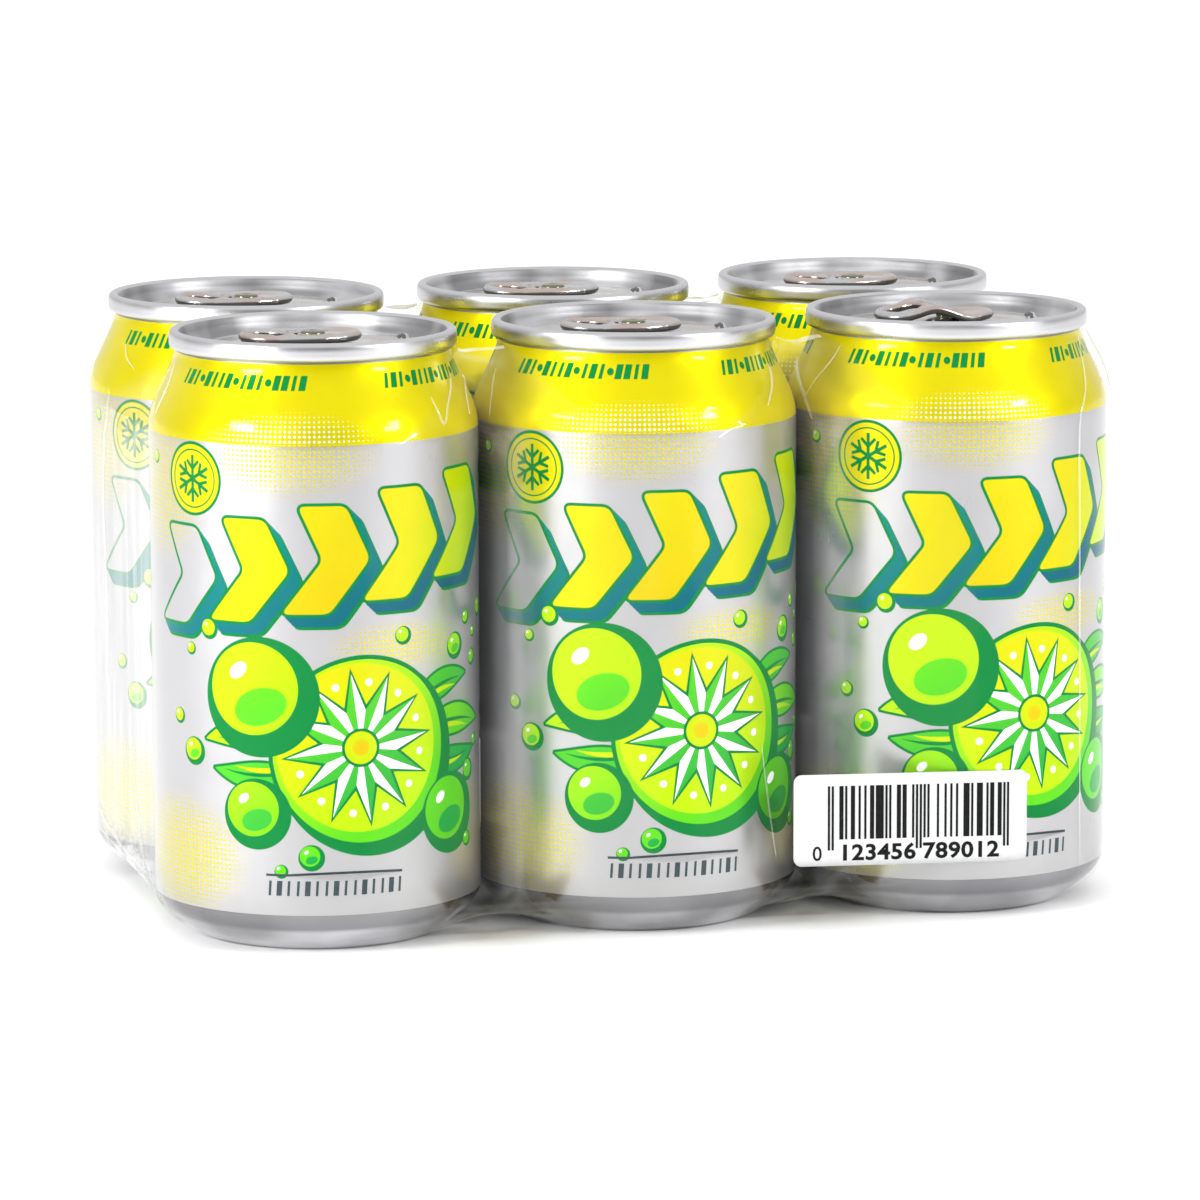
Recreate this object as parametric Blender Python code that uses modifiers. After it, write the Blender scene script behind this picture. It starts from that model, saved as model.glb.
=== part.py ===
"""Six shrink-wrapped drinks cans in two rows of three, metres, +Z up, front towards -Y.

Each can is a turned body, a turned end with its seam and countersink, and a
riveted tab. A band of clear film holds the six together: it lies flat across
the fronts, draws in round the necks and the bases, and is open above and
below. A small label is stuck to the film low on the front.
"""

from math import atan2, cos, hypot, pi, sin, sqrt

import bmesh
import bpy

MM = 0.001

# Sizes in millimetres.
BODY_R = 33.1            # 66.2 mm body
CAN_H = 122.2            # 355 ml can
PITCH = 66.5             # can axis to can axis, both ways
STEPS = 22               # facets round a can

CHIME_Z = 9.6            # the straight wall starts here
CHIME_R, CHIME_KNEE_Z = 31.8, 6.0
FOOT_OUT_R, FOOT_R, FOOT_IN_R = 25.2, 23.6, 22.3
DOME_Z = 10.0
SHOULDER_Z = 105.0       # the straight wall ends here
NECK_LOW_R, NECK_LOW_Z = 28.4, 114.8
NECK_TOP_R, NECK_TOP_Z = 27.7, 118.5

SEAM_R, SEAM_LOW_Z = 28.9, 119.5
LIP_R = 28.1
CHUCK_TOP_R, SINK_OUT_R, SINK_IN_R, SINK_Z = 27.3, 25.5, 24.0, 115.9
PANEL_R, PANEL_Z = 22.6, 118.5
END_SHEET = 0.5
RIVET_R, RIVET_TOP_Z = 2.6, 121.3
FIT_GAP = 0.35           # between the pieces of one can

TAB_LONG, TAB_WIDE, TAB_THICK = 24.8, 16.4, 1.2
TAB_SHIFT = -2.6         # the rivet is nearer the nose end
TAB_LOW_Z = 119.7
FINGER_X, FINGER_LONG, FINGER_WIDE = -9.3, 7.4, 9.6
TAB_HUMP, HUMP_X, HUMP_LONG = 2.3, -6.2, 6.2   # the front right tab is bent up

FILM_GAP, FILM_THICK = 0.35, 0.4
LABEL_GAP, LABEL_THICK = 0.3, 0.3
LABEL_X0, LABEL_X1 = 24.3, 74.0
LABEL_LOW_Z, LABEL_HIGH = 13.3, 18.8
LABEL_SLOPE = -1.2       # the label's right end sits this much lower

# The film's section at each height: how far it stands from a can's axis, and
# the radius of the hollow that it makes between two neighbouring cans.
FILM_LEVELS = (
    (1.4, 27.4, 20.0),
    (5.8, 32.6, 40.0),
    (9.4, BODY_R + FILM_GAP, 700.0),
    (92.0, BODY_R + FILM_GAP, 700.0),
    (99.0, BODY_R + FILM_GAP, 160.0),
    (105.4, BODY_R + FILM_GAP, 40.0),
    (112.8, 31.4, 14.0),
    (120.2, SEAM_R + FILM_GAP, 7.0),
)
LABEL_LEVEL = 2
CORNER_STEPS, SIDE_STEPS = 5, 4

COLOURS = {
    "body": ((0.93, 0.90, 0.20, 1.0), 0.32, 0.55),
    "end": ((0.78, 0.78, 0.79, 1.0), 0.25, 1.0),
    "tab": ((0.80, 0.77, 0.75, 1.0), 0.22, 1.0),
    "film": ((0.90, 0.92, 0.92, 0.3), 0.08, 0.0),
    "label": ((0.93, 0.93, 0.92, 1.0), 0.45, 0.0),
}


def clear_scene():
    for obj in list(bpy.data.objects):
        bpy.data.objects.remove(obj, do_unlink=True)


def material(slot):
    colour, roughness, metallic = COLOURS[slot]
    made = bpy.data.materials.new(slot)
    made.use_nodes = True
    shader = made.node_tree.nodes["Principled BSDF"]
    shader.inputs["Base Color"].default_value = colour
    shader.inputs["Roughness"].default_value = roughness
    shader.inputs["Metallic"].default_value = metallic
    shader.inputs["Alpha"].default_value = colour[3]
    return made


def add_object(name, mesh, place=(0.0, 0.0), smooth=True):
    obj = bpy.data.objects.new(name, mesh)
    obj.location = (place[0] * MM, place[1] * MM, 0.0)
    PACK.objects.link(obj)
    for face in mesh.polygons:
        face.use_smooth = smooth
    return obj


def turned(name, profile, slot, place):
    """A closed turned solid: the profile runs from the axis at the top, down its outer side, to the axis."""
    mesh = bpy.data.meshes.new(name)
    points = [(r * MM, 0.0, z * MM) for r, z in profile]
    mesh.from_pydata(points, [(i, i + 1) for i in range(len(points) - 1)], [])
    mesh.materials.append(MATERIALS[slot])
    obj = add_object(name, mesh, place)
    screw = obj.modifiers.new("turn", "SCREW")
    screw.axis = "Z"
    screw.angle = 2 * pi
    screw.steps = screw.render_steps = STEPS
    screw.use_merge_vertices = True
    screw.merge_threshold = 0.0001
    screw.use_smooth_shade = True
    screw.use_normal_calculate = True
    return obj


def body_profile():
    """A necked body with a domed base; its top follows the underside of the end."""
    under = PANEL_Z - END_SHEET - 0.1 - FIT_GAP
    sink = SINK_Z - END_SHEET - FIT_GAP + 0.05
    return [
        (0.0, under), (PANEL_R - 0.8, under),
        (SINK_IN_R - 0.9, sink), (SINK_OUT_R + 0.8, sink),
        (NECK_TOP_R - 0.3, NECK_TOP_Z), (NECK_TOP_R, NECK_TOP_Z),
        (NECK_LOW_R, NECK_LOW_Z),
        (BODY_R - 0.6, SHOULDER_Z + 1.4), (BODY_R, SHOULDER_Z),
        (BODY_R, CHIME_Z), (CHIME_R, CHIME_KNEE_Z),
        (FOOT_OUT_R, 0.4), (FOOT_R, 0.0), (FOOT_IN_R, 2.2),
        (14.0, DOME_Z - 2.0), (0.0, DOME_Z),
    ]


def end_profile():
    """Panel, countersink, chuck wall and double seam, then back along the underside."""
    low = SINK_Z - END_SHEET
    return [
        (0.0, PANEL_Z), (PANEL_R, PANEL_Z), (SINK_IN_R, SINK_Z), (SINK_OUT_R, SINK_Z),
        (CHUCK_TOP_R, CAN_H - 0.5), (LIP_R, CAN_H), (SEAM_R, CAN_H - 0.7),
        (SEAM_R, SEAM_LOW_Z), (SEAM_R - 0.9, NECK_TOP_Z + 0.4),
        (NECK_TOP_R - 0.5, NECK_TOP_Z + 0.4),
        (SINK_OUT_R + 0.45, low), (SINK_IN_R - 0.6, low),
        (PANEL_R - 0.5, PANEL_Z - END_SHEET - 0.1),
        (0.0, PANEL_Z - END_SHEET - 0.1),
    ]


def rounded(count, cx, half_x, half_y, power):
    """A superellipse outline."""
    made = []
    for i in range(count):
        a = 2 * pi * (i + 0.5) / count
        c, s = cos(a), sin(a)
        made.append((
            cx + half_x * (abs(c) ** power) * (1 if c > 0 else -1),
            half_y * (abs(s) ** power) * (1 if s > 0 else -1),
        ))
    return made


def tab_mesh(name, hump):
    """A flat plate with a finger hole; hump bends it up between its finger end and the rivet."""
    curve = bpy.data.curves.new(name, "CURVE")
    curve.dimensions = "2D"
    curve.fill_mode = "BOTH"
    curve.extrude = TAB_THICK / 2 * MM
    outlines = (
        rounded(16, TAB_SHIFT, TAB_LONG / 2, TAB_WIDE / 2, 0.72),
        rounded(8, FINGER_X, FINGER_LONG / 2, FINGER_WIDE / 2, 0.8),
    )
    for outline in outlines:
        spline = curve.splines.new("POLY")
        spline.points.add(len(outline) - 1)
        for point, (x, y) in zip(spline.points, outline):
            point.co = (x * MM, y * MM, 0.0, 1.0)
        spline.use_cyclic_u = True
    guide = bpy.data.objects.new(name + "_outline", curve)
    GUIDES.objects.link(guide)
    guide.hide_render = True
    bpy.context.view_layer.update()
    flat = bpy.data.meshes.new_from_object(
        guide.evaluated_get(bpy.context.evaluated_depsgraph_get())
    )
    bpy.data.objects.remove(guide, do_unlink=True)
    work = bmesh.new()
    work.from_mesh(flat)
    bmesh.ops.remove_doubles(work, verts=work.verts, dist=1e-6)
    for vert in work.verts:
        x = vert.co.x / MM
        rise = max(0.0, 1 - ((x - HUMP_X) / HUMP_LONG) ** 2)
        vert.co.z += (TAB_LOW_Z + TAB_THICK / 2 + hump * rise) * MM
    bmesh.ops.recalc_face_normals(work, faces=work.faces)
    mesh = bpy.data.meshes.new(name)
    work.to_mesh(mesh)
    work.free()
    mesh.materials.clear()
    mesh.materials.append(MATERIALS["tab"])
    return mesh


def rivet_for(tab, place):
    """The rivet that holds a tab, joined to it; it stops just above the panel."""
    low = PANEL_Z + FIT_GAP
    work = bmesh.new()
    bmesh.ops.create_cone(
        work, cap_ends=True, segments=8,
        radius1=RIVET_R * MM, radius2=RIVET_R * MM, depth=(RIVET_TOP_Z - low) * MM,
    )
    mesh = bpy.data.meshes.new(tab.name + "_rivet")
    work.to_mesh(mesh)
    work.free()
    mesh.materials.append(MATERIALS["tab"])
    rivet = bpy.data.objects.new(tab.name + "_rivet", mesh)
    rivet.location = (place[0] * MM, place[1] * MM, (RIVET_TOP_Z + low) / 2 * MM)
    rivet.hide_render = True
    rivet.display_type = "WIRE"
    GUIDES.objects.link(rivet)
    join = tab.modifiers.new("rivet", "BOOLEAN")
    join.operation = "UNION"
    join.solver = "EXACT"
    join.object = rivet


def film_ring(radius, hollow):
    """The film's inner outline at one height, anticlockwise from the front of the right-hand can."""
    half = PITCH / 2
    to_hollow = radius + hollow
    reach = sqrt(to_hollow ** 2 - half * half)
    touch = atan2(half, reach)               # from a side's normal to where the film leaves the can
    middle = atan2(half, reach - hollow)     # and on to halfway between two cans
    side_step = middle / SIDE_STEPS

    def beside(turn):
        """How far the film is from the can's axis, this far round from the side's normal."""
        least = radius / cos(side_step / 2)
        if turn <= touch:
            return least
        along = to_hollow * cos(turn - touch)
        return max(least, along - sqrt(along ** 2 - to_hollow ** 2 + hollow ** 2))

    # Each can: its place, and the normals of the first and last side that the film covers.
    cans = (
        ((PITCH, -half), -pi / 2, 0.0), ((PITCH, half), 0.0, pi / 2),
        ((0.0, half), pi / 2, pi / 2), ((-PITCH, half), pi / 2, pi),
        ((-PITCH, -half), pi, 3 * pi / 2), ((0.0, -half), 3 * pi / 2, 3 * pi / 2),
    )
    points = []
    for (cx, cy), first, last in cans:
        polar = [(first - middle, half / sin(middle))]
        polar += [(first - side_step * i, beside(side_step * i)) for i in range(SIDE_STEPS - 1, -1, -1)]
        if last > first:
            turn = (last - first) / CORNER_STEPS
            polar += [(first + turn * i, radius / cos(turn / 2)) for i in range(1, CORNER_STEPS + 1)]
        polar += [(last + side_step * i, beside(side_step * i)) for i in range(1, SIDE_STEPS)]
        points += [(cx + far * cos(a), cy + far * sin(a)) for a, far in polar]
    return points


def offset_ring(points, by):
    """The closed outline moved outwards by a distance, mitred at its corners."""
    made = []
    total = len(points)
    for i, (x, y) in enumerate(points):
        ax, ay = points[i - 1]
        bx, by_ = points[(i + 1) % total]
        la, lb = hypot(x - ax, y - ay), hypot(bx - x, by_ - y)
        na = ((y - ay) / la, -(x - ax) / la)
        nb = ((by_ - y) / lb, -(bx - x) / lb)
        mx, my = na[0] + nb[0], na[1] + nb[1]
        scale = by * 2 / (mx * mx + my * my)
        made.append((x + mx * scale, y + my * scale))
    return made


def film_mesh(name):
    """A thin-walled band lofted through the levels; its sections are unlike, so the faces are built here."""
    inner = [film_ring(r, hollow) for _, r, hollow in FILM_LEVELS]
    outer = [offset_ring(ring, FILM_THICK) for ring in inner]
    verts = []
    for side in (inner, outer):
        for (z, _, _), ring in zip(FILM_LEVELS, side):
            verts += [(x * MM, y * MM, z * MM) for x, y in ring]
    around, levels = len(inner[0]), len(FILM_LEVELS)

    def at(side, level, i):
        return (side * levels + level) * around + i % around

    faces = []
    for i in range(around):
        for level in range(levels - 1):
            faces.append((at(1, level, i), at(1, level, i + 1), at(1, level + 1, i + 1), at(1, level + 1, i)))
            faces.append((at(0, level, i), at(0, level + 1, i), at(0, level + 1, i + 1), at(0, level, i + 1)))
        top = levels - 1
        faces.append((at(0, top, i), at(1, top, i), at(1, top, i + 1), at(0, top, i + 1)))
        faces.append((at(0, 0, i), at(0, 0, i + 1), at(1, 0, i + 1), at(1, 0, i)))
    mesh = bpy.data.meshes.new(name)
    mesh.from_pydata(verts, [], faces)
    mesh.materials.append(MATERIALS["film"])
    return mesh


def label_mesh(name):
    """A thin plate that follows the film's front between two places along it."""
    ring = film_ring(*FILM_LEVELS[LABEL_LEVEL][1:])
    sides = []
    for by in (FILM_THICK + LABEL_GAP, FILM_THICK + LABEL_GAP + LABEL_THICK):
        moved = offset_ring(ring, by)
        front = sorted((p for p in moved if p[1] < -PITCH / 2 - BODY_R * 0.5), key=lambda p: p[0])
        path = []
        for a, b in zip(front, front[1:]):
            for cut in (LABEL_X0, LABEL_X1):
                if a[0] < cut < b[0]:
                    share = (cut - a[0]) / (b[0] - a[0])
                    path.append((cut, a[1] + share * (b[1] - a[1])))
            if LABEL_X0 < b[0] < LABEL_X1:
                path.append(b)
        sides.append(sorted(path))
    count = len(sides[0])
    verts = []
    for path in sides:
        for x, y in path:
            drop = LABEL_SLOPE * (x - LABEL_X0) / (LABEL_X1 - LABEL_X0)
            for z in (LABEL_LOW_Z + drop, LABEL_LOW_Z + LABEL_HIGH + drop):
                verts.append((x * MM, y * MM, z * MM))

    def at(side, i, high):
        return (side * count + i) * 2 + high

    faces = []
    for i in range(count - 1):
        faces.append((at(1, i, 0), at(1, i + 1, 0), at(1, i + 1, 1), at(1, i, 1)))
        faces.append((at(0, i, 0), at(0, i, 1), at(0, i + 1, 1), at(0, i + 1, 0)))
        faces.append((at(0, i, 0), at(0, i + 1, 0), at(1, i + 1, 0), at(1, i, 0)))
        faces.append((at(0, i, 1), at(1, i, 1), at(1, i + 1, 1), at(0, i + 1, 1)))
    last = count - 1
    faces.append((at(0, 0, 0), at(1, 0, 0), at(1, 0, 1), at(0, 0, 1)))
    faces.append((at(0, last, 0), at(0, last, 1), at(1, last, 1), at(1, last, 0)))
    mesh = bpy.data.meshes.new(name)
    mesh.from_pydata(verts, [], faces)
    mesh.materials.append(MATERIALS["label"])
    work = bmesh.new()
    work.from_mesh(mesh)
    bmesh.ops.recalc_face_normals(work, faces=work.faces)
    work.to_mesh(mesh)
    work.free()
    return mesh


clear_scene()
PACK = bpy.data.collections.new("six_pack_of_cans")
GUIDES = bpy.data.collections.new("guides")
GUIDES.hide_render = True
for collection in (PACK, GUIDES):
    bpy.context.scene.collection.children.link(collection)
MATERIALS = {slot: material(slot) for slot in COLOURS}

PLACES = {
    row + column: (x * PITCH, y * PITCH)
    for row, y in (("front_", -0.5), ("back_", 0.5))
    for column, x in (("left", -1.0), ("middle", 0.0), ("right", 1.0))
}
for where, place in PLACES.items():
    turned("can_" + where + "_body", body_profile(), "body", place)
    turned("can_" + where + "_end", end_profile(), "end", place)
    hump = TAB_HUMP if where == "front_right" else 0.0
    name = "can_" + where + "_tab"
    rivet_for(add_object(name, tab_mesh(name, hump), place, smooth=False), place)
add_object("film_band", film_mesh("film_band"))
add_object("film_label", label_mesh("film_label"), smooth=False)
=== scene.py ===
import math

import bpy
import numpy as np
from mathutils import Matrix, Vector, geometry, noise


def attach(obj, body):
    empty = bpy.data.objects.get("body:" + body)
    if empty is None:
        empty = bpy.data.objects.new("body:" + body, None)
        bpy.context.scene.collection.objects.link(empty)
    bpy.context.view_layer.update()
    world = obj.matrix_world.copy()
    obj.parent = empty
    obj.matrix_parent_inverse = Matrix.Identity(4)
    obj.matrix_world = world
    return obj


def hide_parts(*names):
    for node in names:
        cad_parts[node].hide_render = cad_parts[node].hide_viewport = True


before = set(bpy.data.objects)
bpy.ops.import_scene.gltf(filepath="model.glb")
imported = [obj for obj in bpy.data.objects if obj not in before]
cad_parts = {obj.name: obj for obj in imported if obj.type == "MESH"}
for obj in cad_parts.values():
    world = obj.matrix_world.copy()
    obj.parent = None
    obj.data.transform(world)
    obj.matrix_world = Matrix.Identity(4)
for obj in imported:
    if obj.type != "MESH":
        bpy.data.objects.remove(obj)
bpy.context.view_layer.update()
SCENE = bpy.context.scene
MM = 0.001
PI = math.pi
TAU = 2 * math.pi

# ---------------------------------------------------------------- sizes, in millimetres
BODY_R = 33.1
PITCH = 66.5
CAN_H = 122.2
CANS = {
    "front_left": (-PITCH, -PITCH / 2),
    "front_middle": (0.0, -PITCH / 2),
    "front_right": (PITCH, -PITCH / 2),
    "back_left": (-PITCH, PITCH / 2),
    "back_middle": (0.0, PITCH / 2),
    "back_right": (PITCH, PITCH / 2),
}
# how far each can is turned about its own axis, in degrees
TURN = {
    "front_left": -6.0,
    "front_middle": 0.0,
    "front_right": 7.0,
    "back_left": -4.0,
    "back_middle": 5.0,
    "back_right": -9.0,
}
PRINT_LOW = 8.6      # lower edge of the print
BAND_LOW = 102.6     # lower edge of the yellow band


# ---------------------------------------------------------------- camera
YAW, PITCH_DOWN, ROLL = math.radians(14.605), math.radians(9.221), math.radians(-0.166)
forward = Vector((math.sin(YAW) * math.cos(PITCH_DOWN), math.cos(YAW) * math.cos(PITCH_DOWN), -math.sin(PITCH_DOWN)))
right0 = forward.cross(Vector((0, 0, 1))).normalized()
up0 = right0.cross(forward)
right = right0 * math.cos(ROLL) + up0 * math.sin(ROLL)
up = up0 * math.cos(ROLL) - right0 * math.sin(ROLL)
cam_data = bpy.data.cameras.new("camera")
cam_data.sensor_width = 36.0
cam_data.sensor_fit = "HORIZONTAL"
cam_data.lens = 196.5
cam_data.clip_start = 0.05
cam_data.clip_end = 60.0
camera = bpy.data.objects.new("camera", cam_data)
m = Matrix.Identity(4)
for i in range(3):
    m[i][0], m[i][1], m[i][2] = right[i], up[i], -forward[i]
m.translation = Vector((-0.3400, -1.3106, 0.2784))
camera.matrix_world = m
SCENE.collection.objects.link(camera)
SCENE.camera = camera
SCENE.view_settings.view_transform = "Standard"
SCENE.cycles.transparent_max_bounces = 12
SCENE.cycles.max_bounces = 6
SCENE.cycles.diffuse_bounces = 3
SCENE.cycles.glossy_bounces = 5


# ---------------------------------------------------------------- node helpers
class Nodes:
    """Short names for the node links that the materials are built from."""

    def __init__(self, tree):
        self.t = tree

    def new(self, kind, **inputs):
        n = self.t.nodes.new(kind)
        for k, v in inputs.items():
            self.put(n, k.replace("_", " "), v)
        return n

    def put(self, node, key, value):
        sock = node.inputs[key]
        if isinstance(value, bpy.types.NodeSocket):
            self.t.links.new(value, sock)
        else:
            sock.default_value = value

    def math(self, op, a, b=None, c=None, clamp=False):
        n = self.t.nodes.new("ShaderNodeMath")
        n.operation = op
        n.use_clamp = clamp
        for i, v in enumerate((a, b, c)):
            if v is not None:
                self.put(n, i, v)
        return n.outputs[0]

    def mix(self, fac, a, b, blend="MIX"):
        n = self.t.nodes.new("ShaderNodeMix")
        n.data_type = "RGBA"
        n.blend_type = blend
        self.put(n, 0, fac)
        self.put(n, 6, a if isinstance(a, bpy.types.NodeSocket) else rgba(a))
        self.put(n, 7, b if isinstance(b, bpy.types.NodeSocket) else rgba(b))
        return n.outputs[2]

    def span(self, v, a, b, c, d):
        n = self.t.nodes.new("ShaderNodeMapRange")
        self.put(n, 0, v)
        for i, x in enumerate((a, b, c, d)):
            self.put(n, i + 1, x)
        return n.outputs[0]

    def noise(self, vec, scale, detail=2.0, rough=0.5):
        n = self.t.nodes.new("ShaderNodeTexNoise")
        self.put(n, "Vector", vec)
        self.put(n, "Scale", scale)
        self.put(n, "Detail", detail)
        self.put(n, "Roughness", rough)
        return n.outputs[0]

    def scaled(self, vec, xyz):
        n = self.t.nodes.new("ShaderNodeMapping")
        self.put(n, "Vector", vec)
        self.put(n, "Scale", xyz)
        return n.outputs[0]

    def bump(self, height, strength, distance):
        n = self.t.nodes.new("ShaderNodeBump")
        self.put(n, "Height", height)
        self.put(n, "Strength", strength)
        self.put(n, "Distance", distance)
        return n.outputs[0]


def rgba(c):
    return (c[0], c[1], c[2], 1.0) if len(c) == 3 else tuple(c)


def srgb(r, g, b):
    """A linear colour from 0-255 display values."""
    return tuple((v / 255 / 12.92) if v <= 10 else ((v / 255 + 0.055) / 1.055) ** 2.4 for v in (r, g, b))


def blank(name):
    mat = bpy.data.materials.new(name)
    mat.use_nodes = True
    mat.node_tree.nodes.clear()
    n = Nodes(mat.node_tree)
    out = n.t.nodes.new("ShaderNodeOutputMaterial")
    return mat, n, out


def principled(n, out, link=True):
    p = n.t.nodes.new("ShaderNodeBsdfPrincipled")
    if link:
        n.t.links.new(p.outputs[0], out.inputs[0])
    return p


# ---------------------------------------------------------------- materials: printed can
SILVER = (0.475, 0.468, 0.482)
YELLOW = (0.665, 0.58, 0.0)
AMBER = (0.68, 0.49, 0.0)
LIME = srgb(180, 224, 0)
GREEN = srgb(92, 202, 24)
LEAF = srgb(20, 158, 62)
FOREST = srgb(0, 124, 54)
TEAL = srgb(0, 126, 116)
DEEP = srgb(0, 90, 116)
WHITE = (0.93, 0.94, 0.93)
SLATE = srgb(62, 74, 78)


def coated(n, out, obj, rough, metallic, coat):
    """Lacquered print on rolled metal: fine rolling grain up the wall and a soft lacquer mottle."""
    p = principled(n, out)
    mottle = n.noise(obj, 90.0, 2.0, 0.55)
    grain = n.noise(n.scaled(obj, (900.0, 900.0, 60.0)), 1.0, 1.0, 0.6)
    r = n.math("ADD", n.span(mottle, 0.3, 0.7, rough - 0.03, rough + 0.04), n.span(grain, 0.3, 0.7, -0.02, 0.02))
    n.put(p, "Roughness", r)
    p.inputs["Metallic"].default_value = metallic
    p.inputs["Coat Weight"].default_value = coat
    p.inputs["Coat Roughness"].default_value = 0.08
    p.inputs["Specular IOR Level"].default_value = 0.03
    peel = n.noise(obj, 420.0, 1.0, 0.5)
    h = n.math("ADD", n.math("MULTIPLY", peel, 0.6), n.math("MULTIPLY", grain, 0.4))
    n.put(p, "Normal", n.bump(h, 0.10, 0.00012))
    return p, mottle


def label_uv(n):
    uv = n.t.nodes.new("ShaderNodeUVMap")
    uv.uv_map = "label"
    sep = n.t.nodes.new("ShaderNodeSeparateXYZ")
    n.t.links.new(uv.outputs[0], sep.inputs[0])
    return n.math("MULTIPLY", sep.outputs[0], 100.0), n.math("MULTIPLY", sep.outputs[1], 100.0)


def dots(n, u, s, blobs, pitch=0.98, size=0.30):
    """Halftone dots on a square grid, whose size follows the strength of soft elliptical blobs."""
    total = None
    for cu, cs, au, asz, top in blobs:
        du = n.math("DIVIDE", n.math("SUBTRACT", u, cu), au)
        ds = n.math("DIVIDE", n.math("SUBTRACT", s, cs), asz)
        d = n.math("ADD", n.math("MULTIPLY", du, du), n.math("MULTIPLY", ds, ds))
        f = n.math("MULTIPLY", n.math("SUBTRACT", 1.0, d, clamp=True), top)
        total = f if total is None else n.math("MAXIMUM", total, f)
    fu = n.math("SUBTRACT", n.math("FRACT", n.math("DIVIDE", u, pitch)), 0.5)
    fs = n.math("SUBTRACT", n.math("FRACT", n.math("DIVIDE", s, pitch)), 0.5)
    d2 = n.math("ADD", n.math("MULTIPLY", fu, fu), n.math("MULTIPLY", fs, fs))
    r2 = n.math("MULTIPLY", total, size)
    return n.math("MULTIPLY", n.math("SUBTRACT", r2, d2), 14.0, clamp=True), total


def tinted(n, mottle, col, amount=0.035):
    dark = tuple(c * (1 - amount) for c in rgba(col)[:3])
    light = tuple(min(1.0, c * (1 + amount)) for c in rgba(col)[:3])
    return n.mix(n.span(mottle, 0.3, 0.7, 0.0, 1.0), dark, light)


def ink(name, col, rough=0.33, metallic=0.5, coat=0.14, far=None, along=None, dot=None):
    """One printed colour. far and along shade it to a second colour across the label; dot adds halftone dots in a third."""
    mat, n, out = blank(name)
    obj = n.t.nodes.new("ShaderNodeTexCoord").outputs["Object"]
    p, mottle = coated(n, out, obj, rough, metallic, coat)
    c = tinted(n, mottle, col)
    if far or dot:
        u, s = label_uv(n)
    if far:
        (ku, ks), a, b = along
        t = n.math("ADD", n.math("MULTIPLY", u, ku), n.math("MULTIPLY", s, ks))
        c = n.mix(n.span(t, a, b, 0.0, 1.0), c, tinted(n, mottle, far))
    if dot:
        colour, blobs, wash = dot
        mask, total = dots(n, u, s, blobs)
        c = n.mix(n.math("MULTIPLY", total, wash, clamp=True), c, colour)
        c = n.mix(mask, c, colour)
    n.put(p, "Base Color", c)
    return mat


DESIGN = 104.0  # the design comes twice round the can
M_SILVER = ink("print_silver", SILVER, rough=0.32, metallic=0.80, coat=0.6,
               dot=(YELLOW, [(-8, 100, 20, 9, 0.55), (14, 62, 17, 6, 0.55), (-36, 19, 20, 14, 0.70), (-42, 93, 17, 17, 0.62)], 0.16))
M_YELLOW = ink("print_yellow", YELLOW, rough=0.36, metallic=0.55, coat=0.10,
               dot=((0.95, 0.95, 0.80), [(-8, 102.5, 19, 7.5, 0.42)], 0.0))
M_INKS = {
    "silver": M_SILVER,
    "yellow": M_YELLOW,
    "amber": ink("print_amber", YELLOW, far=AMBER, along=((0.3, -1.0), -90, -62)),
    "lime": ink("print_lime", YELLOW, far=LIME, along=((0.35, -1.0), -62, -30), metallic=0.35),
    "lime2": ink("print_lime_pale", YELLOW, far=LIME, along=((1.0, -0.2), -4, 22), metallic=0.45),
    "green": ink("print_green", LIME, far=GREEN, along=((0.6, -1.0), -62, -24), metallic=0.35),
    "leaf": ink("print_leaf", GREEN, far=LEAF, along=((0.5, -1.0), -60, -22), metallic=0.30),
    "forest": ink("print_forest", FOREST, metallic=0.2),
    "teal": ink("print_teal", TEAL, metallic=0.3, far=DEEP, along=((0.4, -1.0), -92, -62)),
    "white": ink("print_white", WHITE, metallic=0.05),
    "slate": ink("print_slate", SLATE, metallic=0.05),
}
INK_NAMES = list(M_INKS)


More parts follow.
